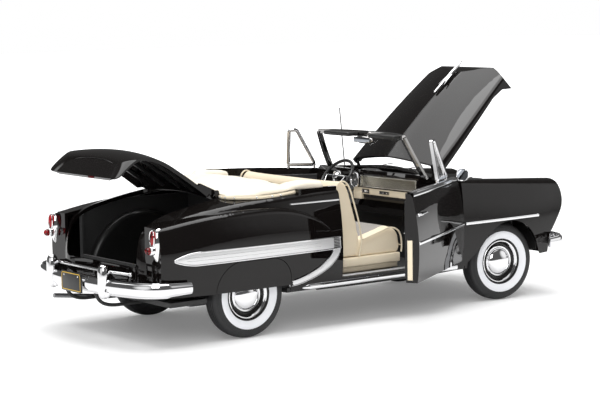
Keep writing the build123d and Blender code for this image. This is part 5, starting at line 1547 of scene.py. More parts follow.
@dataclass
class SideTrim:
    """Quarter spears with polished borders, ribbed blocks and swept strips, and the thin side strips."""

    shop: Workshop
    front_x: float = -19.2
    tail_x: float = -113.4
    rib_rows: int = 7

    def build(self) -> None:
        """Makes the trims of both sides."""
        skin = Skin("body_shell")
        panel, bright = Form(), Form()
        for side in (-1, 1):
            self.spear(panel, bright, skin, side)
            self.strips(bright, skin, side)
        self.shop.place("quarter_spear_panels", panel, "body", ("satin_bright", "black_plastic"),
                        "bright_plating", ("side_trim",))
        self.shop.place("side_mouldings", bright, "body", ("bright_plating",), "bright_plating")
        self.make_sills()

    def edges(self, x: float) -> tuple[float, float]:
        """Lower and upper edge of the spear at a station.

        Args:
            x: the station along the car.

        Returns:
            Height of the lower and of the upper edge.
        """
        reach = min(max((x - self.tail_x) / 13.0, 0.0), 1.0)
        open_up = math.sin(reach * math.pi / 2) ** 0.75
        low, high = 38.2 + 0.4 * (x + 105) / 86, 44.0 - 0.1 * (x + 105) / 86
        middle = 40.9
        return middle + (low - middle) * open_up, middle + (high - middle) * open_up

    def spear(self, panel: Form, bright: Form, skin: Skin, side: int) -> None:
        """Wide spear: a satin panel inside a polished border, the ribbed block and the swept strip.

        Args:
            panel: the form that takes the panel, ribs and swept strip.
            bright: the form that takes the polished borders.
            skin: the surface they lie on.
            side: 1 for the left side, -1 for the right.
        """
        stations = [self.tail_x + 0.15 + 12.0 * (i / 14) ** 1.6 for i in range(15)]
        stations += [self.tail_x + 12.15 + (self.front_x - self.tail_x - 12.15) * i / 26 for i in range(1, 27)]
        rows = []
        for x in stations:
            low, high = self.edges(x)
            rows.append([skin.beside(x, low + (high - low) * t, side,
                                     0.42 + 0.28 * math.sin(math.pi * t)) for t in
                         (0.0, 0.16, 0.34, 0.5, 0.66, 0.84, 1.0)])
        panel.finish = 0
        panel.grid(rows)
        outline = [(x, self.edges(x)[1]) for x in stations]
        outline += [(x, self.edges(x)[0]) for x in reversed(stations)]
        bright.tube(skin.line(outline, side, 0.42), 0.42, 10)
        for share in (0.36, 0.64):
            path = []
            for x in stations[9:-4]:
                low, high = self.edges(x)
                path.append((x, low + (high - low) * share))
            bright.tube(skin.line(path, side, 0.60), 0.13, 6)
        panel.finish = 1
        for row in range(self.rib_rows):
            z = 39.2 + 0.72 * row
            panel.tube(skin.line([(self.front_x - 4.6, z), (self.front_x - 0.8, z)], side, 0.72), 0.2, 6)
        outer = [(self.front_x, 38.6), (-19.9, 36.4), (-22.4, 33.0), (-27.0, 29.4), (-34.0, 26.3),
                 (-42.0, 24.0), (-49.0, 22.8)]
        inner = [(self.front_x - 4.4, 38.6), (-24.6, 36.6), (-27.2, 33.8), (-31.4, 30.9), (-37.0, 28.4),
                 (-43.4, 26.3), (-49.6, 25.0)]
        panel.finish = 0
        rows = []
        for (xo, zo), (xi, zi) in zip(self.finer(outer), self.finer(inner)):
            rows.append([skin.beside(xo + (xi - xo) * t, zo + (zi - zo) * t, side,
                                     0.35 + 0.35 * math.sin(math.pi * t)) for t in (0.0, 0.2, 0.5, 0.8, 1.0)])
        panel.grid(rows)
        for line in (outer, inner):
            bright.tube(skin.line(self.finer(line), side, 0.4), 0.26, 8)

    @staticmethod
    def finer(line: Sequence[tuple[float, float]]) -> list[tuple[float, float]]:
        """Curved version of a coarse side-view line."""
        return [(x, z) for x, _, z in rounded_path([(x, 0, z) for x, z in line], 3.2, 4)]

    def strips(self, bright: Form, skin: Skin, side: int) -> None:
        """Thin fender strip with a round front end, and the belt strip behind the door.

        Args:
            bright: the form to add to.
            skin: the surface they lie on.
            side: 1 for the left side, -1 for the right.
        """
        fender = spaced([(61.6, 43.0), (113.6, 43.0)], 2.0)
        bright.sweep(skin.line(fender, side, 0.15), moulding(side))
        bright.ball(skin.beside(113.6, 43.0, side, 0.1), (0.9, 0.5, 0.85), 20)
        belt = spaced([(-46.0, 61.3), (-17.9, 61.4)], 2.0)
        bright.sweep(skin.line(belt, side, 0.12), moulding(side, 0.8, 0.55))

    def make_sills(self) -> None:
        """Bright sill strips with pointed rear ends, and ribbed step plates."""
        form, plates = Form(), Form()
        for side in (-1, 1):
            y = side * 50.1
            path = [(-41.5, y, 21.4), (-40.2, y, 21.45), (-37.0, y, 21.5), (0.0, y, 21.5), (50.0, y, 21.5),
                    (55.9, y, 21.5)]
            section = [(side * -0.95, -1.3), (side * -0.95, 1.3), (side * 0.35, 1.25), (side * 0.85, 0.75),
                       (side * 0.98, 0.0), (side * 0.85, -0.75), (side * 0.35, -1.25)]
            form.sweep(path, [(-u, v) for u, v in section], sizes=(0.25, 0.6, 1.0, 1.0, 1.0, 0.96))
            plates.block((-15.5, side * 44.9, 23.9), (56.0, side * 48.6, 24.12), 0.05)
            for rib in range(5):
                yy = side * (45.5 + 0.65 * rib)
                plates.tube([(-14.8, yy, 24.12), (55.4, yy, 24.12)], 0.1, 6)
        self.shop.place("sill_strips", form, "body", ("bright_plating",), "bright_plating", ("rocker_strips",))
        self.shop.place("door_step_plates", plates, "body", ("satin_bright",), "bright_plating")


@dataclass
class DoorSet:
    """What each door carries: inner panel, armrest, levers, grip, spear, sill top, vent frame and mirror."""

    shop: Workshop

    def build(self) -> None:
        """Dresses both doors, working in their closed place and swinging the result open."""
        for side, panel in ((-1, Panel.RIGHT_DOOR), (1, Panel.LEFT_DOOR)):
            name = panel.value.body
            skin = Skin(f"{name}_panel", panel.value)
            self.make_inner(side, panel.value, name)
            self.make_outer(side, panel.value, name, skin)

    def make_inner(self, side: int, swing: Swing, name: str) -> None:
        """Inner panel with a swelled upper part, an armrest, a cream end strip, a winder and a lever.

        Args:
            side: 1 for the left side, -1 for the right.
            swing: the door's hinge.
            name: the door's body.
        """
        y = side * 44.55
        inner = side * 43.2
        form = Form()
        form.block((-14.6, min(y, inner), 26.6), (54.3, max(y, inner), 62.6), 0.5)
        rows = []
        for step in range(25):
            x = -13.8 + 67.4 * step / 24
            rows.append([(x, side * (43.15 - 0.5 * math.sin(math.pi * t) ** 0.6), 47.5 + 13.5 * t) for t in
                         (0.0, 0.1, 0.3, 0.5, 0.7, 0.9, 1.0)])
        form.grid(rows)
        form.block((3.0, min(side * 41.0, side * 43.4), 45.4), (36.0, max(side * 41.0, side * 43.4), 48.8), 0.9)
        form.finish = 1
        form.block((-17.15, min(side * 45.4, side * 48.0), 25.6), (-16.8, max(side * 45.4, side * 48.0), 44.5),
                   0.1)
        form.finish = 2
        form.tube([(20.0, side * 42.9, 52.5), (20.0, side * 41.8, 52.5), (24.5, side * 41.7, 50.6)], 0.32, 10)
        form.ball((24.6, side * 41.4, 50.6), (0.6, 0.6, 0.6), 16)
        form.tube([(32.0, side * 42.9, 55.0), (32.0, side * 42.0, 55.0), (36.6, side * 41.9, 55.2)], 0.34, 10)
        for x, z in ((20.0, 52.5), (32.0, 55.0)):
            form.lathe([(0.9, 0.0), (0.9, 0.3), (0.5, 0.6), (0.0, 0.7)], (x, side * 42.95, z), (0, -side, 0),
                       20)
        form.tube([(-13.6, side * 42.9, 47.3), (53.4, side * 42.9, 47.3)], 0.2, 8)
        form.turned(swing.matrix())
        self.shop.place(f"{name}_inner_panel", form, name, ("door_trim", "cream_vinyl", "bright_plating"),
                        "door_trim", (f"{name}_trim",))

    def make_outer(self, side: int, swing: Swing, name: str, skin: Skin) -> None:
        """Spear, grip handle and push button, bright sill top, vent frame and, on the right, the mirror.

        Args:
            side: 1 for the left side, -1 for the right.
            swing: the door's hinge.
            name: the door's body.
            skin: the closed door's surface.
        """
        form = Form()
        spear = spaced([(-16.4, 43.0), (58.0, 43.0)], 2.5)
        form.sweep(skin.line(spear, side, 0.15), moulding(side))
        grip = skin.line([(-12.6, 56.0), (-11.9, 56.0), (-9.0, 56.1), (-6.0, 56.2), (-3.2, 56.2),
                          (-2.4, 56.2)], side, 1.0)
        grip[0] = skin.beside(-12.6, 56.0, side, -0.2)
        grip[-1] = skin.beside(-2.4, 56.2, side, -0.2)
        form.tube(grip, 0.5, 12)
        form.ball(skin.beside(-13.6, 56.0, side, 0.2), (0.8, 0.7, 0.8), 16)
        self.sill_top(form, skin, side)
        self.vent_frame(form, swing, name)
        if side < 0:
            self.mirror(form)
        form.turned(swing.matrix())
        self.shop.place(f"{name}_mouldings", form, name, ("bright_plating", "black_plastic", "mirror_glass"),
                        "bright_plating", (f"{name}_brightwork",))

    @staticmethod
    def sill_top(form: Form, skin: Skin, side: int) -> None:
        """Ribbed bright cap that runs along the top of the door and rises to the vent frame.

        Args:
            form: the form to add to.
            skin: the closed door's surface.
            side: 1 for the left side, -1 for the right.
        """
        rows = []
        for step in range(29):
            x = -16.2 + 74.0 * step / 28
            y = abs(skin.beside(x, 64.2, side)[1])
            row = []
            for t in range(13):
                a = math.pi * t / 12
                groove = 0.10 * (t % 2)
                row.append((x, side * (y - 1.35 + (1.75 - groove) * math.cos(a)),
                            65.9 + (1.25 - groove) * math.sin(a)))
            rows.append([(x, side * (y + 0.36), 64.9)] + row + [(x, side * (y - 3.0), 64.9)])
        form.grid(rows)

    @staticmethod
    def vent_frame(form: Form, swing: Swing, name: str) -> None:
        """Thick bright frame round the vent pane, on two short posts.

        Args:
            form: the form to add to.
            swing: the door's hinge.
            name: the door's body.
        """
        closed = swing.matrix().inverted()
        pane = [closed @ (vertex.co / MM) for vertex in frame["nodes"][f"{name}_vent_glass"].data.vertices]
        middle = sum(pane, Vector()) / len(pane)
        corners = []
        for dx, dz in ((-1, -1), (-1, 1), (1, 1), (1, -1)):
            corners.append(max(pane, key=lambda p: (p.x - middle.x) * dx / 6 + (p.z - middle.z) * dz / 9))
        path = rounded_path([tuple(c) for c in corners + corners[:1]], 1.2, 4)
        section = [(-0.95, -0.7), (-0.95, 0.7), (-0.4, 0.95), (0.4, 0.95), (0.95, 0.7), (0.95, -0.7),
                   (0.4, -0.95), (-0.4, -0.95)]
        form.sweep(path, section, (0, 1, 0))
        for foot in (corners[0], corners[3]):
            form.tube([tuple(foot), (foot.x, foot.y, 65.6)], 0.8, 12, (1, 0, 0))

    @staticmethod
    def mirror(form: Form) -> None:
        """Round door mirror on a curved stalk.

        Args:
            form: the form to add to.
        """
        centre = Vector((55.6, -51.4, 68.4))
        back = (0.97, 0.0, 0.15)
        form.lathe([(0.0, 1.9), (1.2, 1.75), (2.4, 1.2), (3.1, 0.4), (3.2, -0.3), (3.0, -0.45), (2.85, -0.3)],
                   tuple(centre), back, 40)
        form.finish = 2
        form.lathe([(0.0, -0.25), (2.85, -0.25)], tuple(centre), back, 40)
        form.finish = 0
        form.tube(rounded_path([(56.2, -49.0, 65.6), (57.6, -50.6, 66.4), (57.9, -50.9, 68.6)], 1.0, 4), 0.5,
                  10, (0, 1, 0))


@dataclass
class WindshieldSet:
    """Heavy bright frame with a rubber lip, two folded sun visors, the inside mirror and the wipers."""

    shop: Workshop
    low: tuple[Point, ...] = ((45.9, 38.6, 67.2), (49.5, 34.0, 67.4), (52.6, 20.0, 68.2), (53.9, 8.0, 69.0),
                              (54.1, 0.0, 69.2))
    high: tuple[Point, ...] = ((35.0, 34.9, 87.2), (38.2, 28.0, 87.3), (40.6, 16.0, 87.4), (41.7, 6.0, 87.4),
                               (41.8, 0.0, 87.4))

    def build(self) -> None:
        """Makes the frame and its fittings."""
        self.make_frame()
        self.make_fittings()

    def make_frame(self) -> None:
        """Header, pillars and sill of the frame, in one run each, with the black lip that holds the pane."""
        form = Form()
        header = [(x, -y, z) for x, y, z in self.high] + [p for p in reversed(self.high[:-1])]
        sill = [(x, -y, z) for x, y, z in self.low] + [p for p in reversed(self.low[:-1])]
        section = [(-1.0, -1.0), (-1.0, 1.0), (-0.4, 1.25), (0.5, 1.25), (1.0, 0.8), (1.0, -0.8), (0.5, -1.1)]
        form.sweep(rounded_path(header, 3.0, 4), section)
        form.sweep(rounded_path(sill, 3.0, 4), [(u * 0.6, v * 0.6) for u, v in section])
        for side in (-1, 1):
            foot, head = self.low[0], self.high[0]
            bend = ((foot[0] * 0.5 + head[0] * 0.5) - 0.4, side * (foot[1] * 0.5 + head[1] * 0.5),
                    (foot[2] + head[2]) / 2)
            post = [(foot[0] + 0.4, side * foot[1], foot[2] - 1.2), bend,
                    (head[0] + 0.3, side * (head[1] - 0.2), head[2])]
            form.sweep(rounded_path(post, 6.0, 6),
                       [(-1.5, -1.1), (-1.5, 0.2), (-0.6, 1.2), (0.6, 1.2), (1.5, 0.2), (1.5, -1.1)],
                       (1, 0, 0.3))
            form.finish = 1
            inner = [(p[0] - 1.3, p[1] - side * 1.1, p[2]) for p in post]
            form.tube(rounded_path(inner, 6.0, 6), 0.45, 8, (1, 0, 0))
            form.finish = 0
        form.finish = 1
        lip = [(x - 0.5, y, z - 1.5) for x, y, z in header[1:-1]]
        form.tube(rounded_path(lip, 3.0, 4), 0.45, 8)
        # The frame takes chrome whose colour is darkened: a painted dark reflection.
        self.shop.place("windshield_surround", form, "body", ("chrome_painted_dark_reflection", "black_plastic"), "bright_plating",
                        ("windshield_frame",))

    def make_fittings(self) -> None:
        """Two visors folded up under the header, the mirror on its stem, and two wiper arms."""
        form = Form()
        for side in (-1, 1):
            y0, y1 = sorted((side * 8.0, side * 29.0))
            form.finish = 0
            form.block((33.2, y0, 85.8), (40.2, y1, 88.0), 0.8)
            form.finish = 1
            form.tube([(40.0, y0 + 0.5, 85.9), (40.0, y1 - 0.5, 85.9)], 0.3, 8)
            for y in (y0 + 3.0, y1 - 3.0):
                form.block((38.8, y - 0.8, 86.2), (41.2, y + 0.8, 87.4), 0.2)
        form.ball((37.2, 0.0, 84.3), (1.3, 7.4, 2.0), 32)
        form.tube([(42.0, 0.0, 87.2), (40.2, 0.0, 85.6), (38.0, 0.0, 84.6)], 0.6, 10, (0, 1, 0))
        form.ball((41.6, 0.0, 87.3), (1.5, 2.2, 1.2), 24)
        form.finish = 2
        form.block((35.7, -6.4, 83.0), (36.1, 6.4, 85.6), 0.15)
        # The visor hinge rods and the mirror stem take the same chrome with a painted dark reflection.
        self.shop.place("header_visors", form, "body", ("visor_black", "chrome_painted_dark_reflection", "mirror_glass"),
                        "black_plastic", ("header_fittings",))
        wipers = Form()
        for y, reach in ((-14.0, -15.0), (9.0, -15.0)):
            wipers.lathe([(0.9, 0.0), (0.8, 0.7), (0.3, 1.0), (0.0, 1.05)], (54.9, y, 68.0), (0.5, 0, 0.86), 16)
            wipers.tube([(55.0, y, 69.0), (53.4, y + reach * 0.55, 70.6), (51.9, y + reach, 71.5)], 0.22, 8)
        self.shop.place("wiper_arms", wipers, "body", ("bright_plating",), "bright_plating")


# ------------------------------------------------------------------ trunk, hood and engine
@dataclass
class TrunkSet:
    """Rounded wheel housings, a ribbed mat and the lid's braces."""

    shop: Workshop
    hump_x: float = -80.0
    hump_z: float = 25.0
    hump_r: float = 30.0
    rear_x: float = -110.9
    front_x: float = -51.5
    floor_z: float = 26.65

    def build(self) -> None:
        """Makes the trunk's pieces."""
        self.make_humps()
        self.make_mat()
        self.make_lid()

    def make_humps(self) -> None:
        """Half-round wheel housings against both side walls."""
        form = Form()
        for side in (-1, 1):
            rows = []
            for step in range(33):
                a = math.radians(3 + 174 * step / 32)
                out = Vector((math.cos(a), 0, math.sin(a)))
                row = []
                for r, y in ((1.0, 32.15), (1.0, 29.8), (0.985, 28.9), (0.955, 28.3), (0.91, 28.05),
                             (0.60, 28.0), (0.25, 28.0)):
                    place = Vector((self.hump_x, side * y, self.hump_z)) + out * self.hump_r * r
                    place.x = min(max(place.x, self.rear_x), self.front_x)
                    place.z = max(place.z, self.floor_z)
                    row.append(tuple(place))
                rows.append(row)
            form.grid(rows)
        self.shop.place("trunk_wheel_housings", form, "body", ("satin_black",), "chassis_black")

    def make_mat(self) -> None:
        """Ribbed floor mat between the housings."""
        form = Form()
        rows = []
        ribs = 40
        for step in range(ribs * 2 + 1):
            y = -27.6 + 55.2 * step / (ribs * 2)
            z = 26.85 + (0.16 if step % 2 else 0.0)
            rows.append([(x, y, z) for x in (-111.0, -90.0, -70.0, -51.6)])
        form.grid(rows)
        self.shop.place("trunk_mat", form, "body", ("black_carpet",), "black_carpet")

    def make_lid(self) -> None:
        """Pressed braces on the lid's underside."""
        braces = Form()
        skin = Skin("trunk_panel", Panel.LID.value)
        for y in (-20.0, -7.0, 7.0, 20.0):
            line = skin.laid([(-81.0 - 4.2 * step, y) for step in range(9)], 30.0, 1, 0.2)
            if len(line) > 2:
                braces.sweep(line, [(-1.6, 0.3), (-1.0, -0.7), (1.0, -0.7), (1.6, 0.3)], (0, 0, 1))
        braces.turned(Panel.LID.value.matrix())
        self.shop.place("lid_braces", braces, "trunk_lid", ("satin_black",), "body_paint")


@dataclass
class EngineSet:
    """Block with a smooth valve cover, a drum air cleaner, and a battery with its caps."""

    shop: Workshop

    def build(self) -> None:
        """Makes the pieces under the hood."""
        self.make_block()
        self.make_cleaner()
        self.make_bay()

    def make_block(self) -> None:
        """Straight-six block, head, pan, valve cover with its screws, plugs and manifold."""
        form = Form()
        form.block((67.0, -7.0, 22.0), (110.0, 7.0, 41.5), 0.8)
        form.block((66.5, -6.4, 41.5), (110.5, 6.4, 45.2), 0.6)
        form.block((67.5, -7.8, 32.0), (109.0, -6.6, 37.5), 0.5)
        form.block((80.0, -4.0, 21.1), (106.0, 4.0, 24.0), 1.0)
        form.finish = 1
        form.block((68.5, -4.6, 45.0), (107.0, 4.6, 50.6), 2.0)
        form.finish = 2
        for x in (74.0, 87.8, 101.5):
            form.lathe([(0.0, 1.5), (0.8, 1.3), (1.0, 0.6), (1.0, 0.0)], (x, 0, 50.4), (0, 0, 1), 16)
        for x in (71.0, 78.0, 85.0, 92.0, 99.0, 106.0):
            form.lathe([(0.0, 2.4), (0.55, 2.2), (0.55, 0.4), (0.9, 0.3), (0.9, 0.0)], (x, 6.9, 38.5),
                       (0, 0.8, 0.6), 12)
        form.finish = 0
        for x in (72.0, 82.0, 92.0, 102.0):
            form.tube([(x, -7.0, 40.0), (x + 0.5, -7.7, 38.0), (x + 1.0, -7.6, 34.0)], 0.9, 12)
        form.tube([(70.0, -7.4, 34.6), (106.0, -7.4, 34.6)], 0.55, 12)
        self.shop.place("engine_block", form, "body", ("engine_grey", "satin_black", "steel_parts"),
                        "steel_parts", ("engine",), 30.0)

    def make_cleaner(self) -> None:
        """Round air cleaner with a stepped lid, a wing nut and upright ribs round its side."""
        form = Form()
        centre = (104.0, -8.0, 0.0)
        ribs, rib_r = 24, 9.32
        profile = [(0.0, 60.2), (1.0, 60.2), (1.2, 59.9), (6.2, 59.8), (6.8, 59.3), (8.6, 59.0), (9.3, 58.4),
                   (9.45, 57.6), (9.3, 57.0), (9.3, 54.9), (8.8, 54.2), (4.4, 54.0), (3.2, 53.2), (0.0, 53.1)]
        form.lathe(profile, centre, (0, 0, 1), 72)
        for step in range(ribs):
            a = 2 * math.pi * step / ribs
            x, y = centre[0] + rib_r * math.cos(a), centre[1] + rib_r * math.sin(a)
            form.block((x - 0.14, y - 0.14, 55.1), (x + 0.14, y + 0.14, 56.8), 0.05)
        form.finish = 1
        form.block((103.0, -8.3, 60.1), (105.0, -7.7, 60.75), 0.15)
        self.shop.place("air_cleaner_drum", form, "body", ("satin_black", "steel_parts"), "black_plastic",
                        ("air_cleaner",), 30.0)

    def make_bay(self) -> None:
        """Battery with three caps, on its tray and stand beside the engine."""
        form = Form()
        form.block((96.0, 14.0, 36.0), (110.0, 24.0, 47.0), 0.6)
        form.block((95.4, 13.4, 30.0), (110.6, 24.6, 36.2), 0.4)
        form.finish = 1
        for x in (99.0, 103.0, 107.0):
            form.lathe([(0.0, 0.9), (0.8, 0.8), (1.0, 0.3), (1.0, 0.0)], (x, 19.0, 46.9), (0, 0, 1), 16)
        form.finish = 0
        form.block((95.6, 14.0, 21.0), (110.2, 24.0, 30.2), 0.4)
        self.shop.place("battery_box", form, "body", ("black_plastic", "cream_vinyl"), "black_plastic")


@dataclass
class HoodSet:
    """Jet-shaped hood ornament on its fin, a narrow satin black strip of painted shade along the hood's crease,
    and the pressed frame under it.
    """

    shop: Workshop

    def build(self) -> None:
        """Makes the ornament from its low end and tip, the strip of painted crease shade and the underside
        frame.
        """
        swing = Panel.HOOD.value
        form = Form()
        tail, tip = Vector((85.7, 0, 106.3)), Vector((105.5, 0, 122.6))
        along = (tip - tail).normalized()
        length = (tip - tail).length
        form.lathe([(0.0, 0.0), (0.55, 0.3), (0.75, 1.5), (0.85, length * 0.35), (1.0, length * 0.6),
                    (0.95, length * 0.8), (0.6, length * 0.93), (0.0, length)], tuple(tail), tuple(along), 32)
        across = Vector((0, 1, 0))
        lift = along.cross(across).normalized()
        if lift.z < 0:
            lift = -lift
        down = -lift
        for side in (-1, 1):
            root, end = tail + along * (length * 0.62), tail + along * (length * 0.30)
            low, high = [], []
            for place, wide in ((root, 0.8), (root - along * 1.5, 1.4), (end, 2.3), (end - along * 1.6, 2.4),
                                (end + along * 2.4, 0.8)):
                point = place + across * side * wide
                low.append(form.bm.verts.new(point - lift * 0.22))
                high.append(form.bm.verts.new(point + lift * 0.22))
            form.rings([low, high], True)
            form.face(low)
            form.face(list(reversed(high)))
        fin = [tail + along * 1.0, tail + along * (length * 0.75), tail + along * (length * 0.62) + down * 3.0,
               tail + along * 2.2 + down * 2.6]
        low = [form.bm.verts.new(p + across * -0.55) for p in fin]
        high = [form.bm.verts.new(p + across * 0.55) for p in fin]
        form.rings([low, high], True)
        form.face(low)
        form.face(list(reversed(high)))
        self.shop.place("hood_jet", form, "hood", ("bright_plating",), "bright_plating", ("hood_ornament",))
        skin = Skin("hood_panel", swing)
        self.make_painted_crease_shade(swing, skin)
        self.make_frame(swing, skin)

    def make_painted_crease_shade(self, swing: Swing, skin: Skin) -> None:
        """Narrow dark strip along the middle of the hood, from the cowl to the ornament: painted shade where
        the hood's crease falls dark.

        Args:
            swing: the hood's hinge.
            skin: the closed hood's surface.
        """
        form = Form()
        line = skin.laid([(58.6 + 44.0 * step / 24, 0.0) for step in range(25)], 90.0, -1, 0.05)
        form.sweep(line, [(-0.42, -0.1), (-0.2, 0.14), (0.2, 0.14), (0.42, -0.1)])
        form.turned(swing.matrix())
        # Satin black on the black paint: a painted shade line along the hood's crease, not a part of its own.
        self.shop.place("hood_crease_painted_shade", form, "hood", ("satin_black",), "body_paint")

    def make_frame(self, swing: Swing, skin: Skin) -> None:
        """Pressed ribs laid on the hood's underside.

        Args:
            swing: the hood's hinge.
            skin: the closed hood's surface.
        """
        form = Form()
        for y in (-22.0, -9.0, 9.0, 22.0):
            line = skin.laid([(61.0 + 4.8 * step, y) for step in range(12)], 50.0, 1, 0.1)
            if len(line) > 2:
                form.sweep(line, [(-1.5, 0.3), (-0.9, -0.55), (0.9, -0.55), (1.5, 0.3)])
        for x in (63.0, 84.0, 108.0):
            line = skin.laid([(x, -26.0 + 52.0 * step / 12) for step in range(13)], 50.0, 1, 0.1)
            if len(line) > 2:
                form.sweep(line, [(-1.3, 0.3), (-0.8, -0.5), (0.8, -0.5), (1.3, 0.3)])
        form.turned(swing.matrix())
        self.shop.place("hood_frame", form, "hood", ("satin_black",), "body_paint")


# ------------------------------------------------------------------ studio
@dataclass(frozen=True)
class SoftBox:
    """A round soft light that only reflections see."""

    toward: Point
    inner_deg: float
    outer_deg: float
    strength: float


@dataclass
class Studio:
    """White sweep, soft overhead light and the camera."""

    lens_mm: float = 112.26
    eye_mm: Point = (-567.0, -750.1, 159.8)
    yaw_deg: float = 53.13
    pitch_deg: float = 6.3
    roll_deg: float = -0.91
    floor_half: float = 4.0
    floor_glow: float = 0.16
    glow_from: float = 0.30
    glow_to: float = 1.3
    ambient: float = 0.66
    room_dim: float = 0.10
    boxes: tuple[SoftBox, ...] = (
        SoftBox((-0.13, 0.55, 0.90), 18.0, 23.0, 2.4),
        SoftBox((0.0, 0.0, 1.0), 24.0, 42.0, 0.9),
        SoftBox((0.75, -0.62, 0.30), 8.0, 26.0, 0.9),
        SoftBox((-0.9, -0.2, 0.35), 10.0, 30.0, 0.8),
    )

    def build(self) -> None:
        """Makes the floor, world, lamps and camera."""
        self.make_floor()
        self.make_world()
        self.make_lamps()
        self.make_camera()
        bpy.context.scene.view_settings.view_transform = "Standard"

    def make_floor(self) -> None:
        """A large white floor that shows white to the eye and keeps the shadow."""
        half = self.floor_half
        mesh = bpy.data.meshes.new("floor")
        mesh.from_pydata([(-half, -half, 0), (half, -half, 0), (half, half, 0), (-half, half, 0)], [],
                         [(0, 1, 2, 3)])
        floor = bpy.data.objects.new("floor", mesh)
        bpy.context.scene.collection.objects.link(floor)
        shader = Shader("floor_white")
        shader.set(Base_Color=(0.90, 0.90, 0.90), Roughness=0.7, Specular_IOR_Level=0.1,
                   Emission_Color=(1.0, 1.0, 1.0))
        place = shader.node("ShaderNodeTexCoord")
        reach = shader.node("ShaderNodeVectorMath", Vector=place.outputs["Object"])
        reach.operation = "LENGTH"
        far = shader.node("ShaderNodeMapRange", Value=reach.outputs["Value"])
        far.interpolation_type = "SMOOTHSTEP"
        for name, value in (("From Min", self.glow_from), ("From Max", self.glow_to),
                            ("To Min", self.floor_glow)):
            far.inputs[name].default_value = value
        path = shader.node("ShaderNodeLightPath")
        seen = math_node(shader.tree, "MAXIMUM", path.outputs["Is Camera Ray"],
                         path.outputs["Is Transmission Ray"])
        glow = math_node(shader.tree, "MULTIPLY", seen, far.outputs["Result"])
        shader.link(glow, "Emission Strength")
        mesh.materials.append(shader.material)

    def make_world(self) -> None:
        """White to the eye; in reflections a dim room with soft boxes, so that metal shows its form."""
        world = bpy.data.worlds.new("studio")
        bpy.context.scene.world = world
        world.use_nodes = True
        tree = world.node_tree
        back = tree.nodes["Background"]
        back.inputs["Color"].default_value = (1, 1, 1, 1)
        path = tree.nodes.new("ShaderNodeLightPath")
        place = tree.nodes.new("ShaderNodeTexCoord")
        room: object = self.room_dim
        for box in self.boxes:
            toward = tree.nodes.new("ShaderNodeVectorMath")
            toward.operation = "DOT_PRODUCT"
            tree.links.new(place.outputs["Generated"], toward.inputs[0])
            toward.inputs[1].default_value = Vector(box.toward).normalized()
            edge = tree.nodes.new("ShaderNodeMapRange")
            edge.interpolation_type = "SMOOTHSTEP"
            tree.links.new(toward.outputs["Value"], edge.inputs["Value"])
            for name, value in (("From Min", math.cos(math.radians(box.outer_deg))),
                                ("From Max", math.cos(math.radians(box.inner_deg))), ("To Max", box.strength)):
                edge.inputs[name].default_value = value
            room = math_node(tree, "ADD", room, edge.outputs["Result"])
        seen = math_node(tree, "MAXIMUM", path.outputs["Is Camera Ray"], path.outputs["Is Transmission Ray"])
        mirrored = math_node(tree, "MULTIPLY", path.outputs["Is Glossy Ray"], room)
        plain = math_node(tree, "SUBTRACT", 1.0, path.outputs["Is Glossy Ray"])
        soft = math_node(tree, "MULTIPLY", plain, self.ambient)
        strength = math_node(tree, "MAXIMUM", seen, math_node(tree, "ADD", mirrored, soft))
        tree.links.new(strength, back.inputs["Strength"])

    def make_lamps(self) -> None:
        """A broad soft overhead box and a weaker one from the camera's left."""
        for name, place, size, power in (
            ("overhead_box", (0.0, -0.05, 1.3), 1.2, 16.0),
            ("side_box", (-0.9, -1.1, 0.8), 0.7, 5.0),
        ):
            light = bpy.data.lights.new(name, "AREA")
            light.shape = "SQUARE"
            light.size = size
            light.energy = power
            lamp = bpy.data.objects.new(name, light)
            lamp.location = place
            lamp.rotation_mode = "QUATERNION"
            lamp.rotation_quaternion = (Vector((0, 0, 0.04)) - Vector(place)).to_track_quat("-Z", "Y")
            bpy.context.scene.collection.objects.link(lamp)

    def make_camera(self) -> None:
        """Sets the camera from its eye point, yaw, pitch and roll."""
        yaw, pitch, roll = (math.radians(a) for a in (self.yaw_deg, self.pitch_deg, self.roll_deg))
        forward = Vector((math.cos(pitch) * math.cos(yaw), math.cos(pitch) * math.sin(yaw), -math.sin(pitch)))
        level = Vector((math.sin(yaw), -math.cos(yaw), 0.0))
        upright = level.cross(forward)
        right = math.cos(roll) * level + math.sin(roll) * upright
        up = -math.sin(roll) * level + math.cos(roll) * upright
        camera = bpy.data.cameras.new("camera")
        camera.lens = self.lens_mm
        camera.sensor_width = 36.0
        camera.clip_start, camera.clip_end = 0.05, 20.0
        item = bpy.data.objects.new("camera", camera)
        turn = Matrix((right, up, -forward)).transposed().to_4x4()
        item.matrix_world = Matrix.Translation(Vector(self.eye_mm) * MM) @ turn
        bpy.context.scene.collection.objects.link(item)
        bpy.context.scene.camera = item


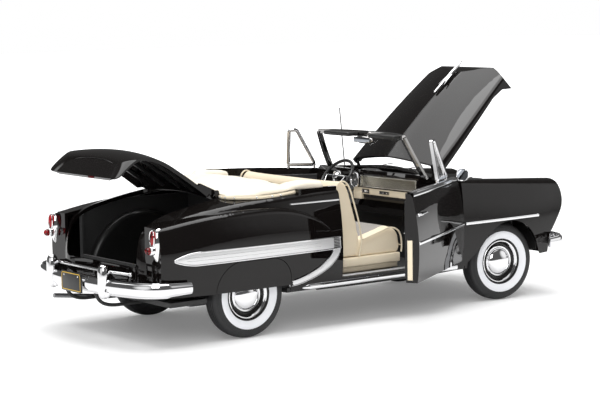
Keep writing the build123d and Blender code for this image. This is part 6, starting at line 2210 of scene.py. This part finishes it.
# ------------------------------------------------------------------ finishes of the carried-over sub-parts
FINISHES: tuple[object, ...] = (
    Enamel(),
    Plating("bright_plating"),
    Plating("wheel_chrome", roughness=0.04),
    Plating("ribbed_bright", (0.66, 0.64, 0.58), 0.20),
    # Chrome darkened in its colour: a painted dark reflection, for the windshield frame and the visor fittings.
    Plating("chrome_painted_dark_reflection", (0.50, 0.49, 0.48), 0.08),
    Plating("mirror_glass", (0.35, 0.37, 0.40), 0.02),
    Brushed("satin_bright"),
    Plain("visor_black", (0.02, 0.02, 0.02), 0.35, 900.0, 0.00001),
    Plain("satin_black", (0.010, 0.010, 0.010), 0.32, 500.0, 0.000004),
    Plain("engine_grey", (0.10, 0.11, 0.12), 0.4, 700.0, 0.00001),
    Clear("clear_glass", (1.0, 1.0, 1.0), 0.0, 1.12),
    Clear("fluted_glass", (0.98, 0.99, 1.0), 0.05, 1.5),
    Clear("red_lens", (0.42, 0.003, 0.008), 0.03, 1.49),
    Vinyl("cream_vinyl", (0.90, 0.79, 0.61), (0.84, 0.73, 0.54)),
    Vinyl("cream_piping", (0.86, 0.76, 0.58), (0.80, 0.70, 0.52), 0.35),
    Vinyl("cover_vinyl", (0.93, 0.86, 0.73), (0.90, 0.82, 0.68), 0.5, 1100.0),
    SeatCloth(),
    Plain("door_trim", (0.012, 0.012, 0.013), 0.45, 1300.0),
    Plain("black_plastic", (0.010, 0.010, 0.011), 0.28, 1200.0, 0.00001),
    Plain("black_carpet", (0.010, 0.010, 0.010), 0.9, 2500.0, 0.0001, 0.0, 0.3),
    Plain("chassis_black", (0.015, 0.015, 0.015), 0.45, 700.0),
    Plain("steel_parts", (0.35, 0.35, 0.36), 0.35, 600.0, 0.00002, 1.0),
    Plain("tyre_rubber", (0.016, 0.016, 0.017), 0.55, 900.0),
    Plain("white_rubber", (0.86, 0.87, 0.90), 0.5, 900.0, 0.00001, 0.0, 0.0, 0.02),
    Plain("wheel_black", (0.010, 0.010, 0.010), 0.25, 900.0, 0.00001),
    Plain("plate_yellow", (0.75, 0.47, 0.03), 0.35, 300.0, 0.00001),
    Plain("plate_black", (0.012, 0.012, 0.012), 0.35, 300.0, 0.00001),
    Plain("dial_face", (0.02, 0.02, 0.02), 0.4, 900.0, 0.00001),
    Plain("dial_white", (0.8, 0.8, 0.8), 0.4, 900.0, 0.00001),
)


NODE_FINISHES = {"dashboard": "body_paint"}


def dress_nodes(finishes: dict[str, bpy.types.Material]) -> None:
    """Gives every packed sub-part the finish of its material slot.

    Args:
        finishes: the built materials by name.
    """
    for entry in frame["record"]["subparts"]:
        node = frame["nodes"][entry["node"]]
        node.data.materials.clear()
        node.data.materials.append(finishes[NODE_FINISHES.get(entry["node"], entry["material_slot"])])


def main() -> None:
    """Builds the scene, piece by piece."""
    logging.basicConfig(level=logging.INFO, format="%(name)s: %(message)s")
    Studio().build()
    finishes = {finish.name: finish.build() for finish in FINISHES}
    dress_nodes(finishes)
    LOG.info("finishes set on %d sub-parts", len(frame["nodes"]))
    shop = Workshop(finishes)
    for assembly in (SeatSet, BootCover, WheelSet, BumperSet, LampSet, GrilleSet, SteeringWheel, Dashboard,
                     SideTrim, DoorSet, WindshieldSet, TrunkSet, HoodSet, EngineSet):
        assembly(shop).build()
    LOG.info("%d pieces made", shop.count)


if __name__ == "__main__":
    main()
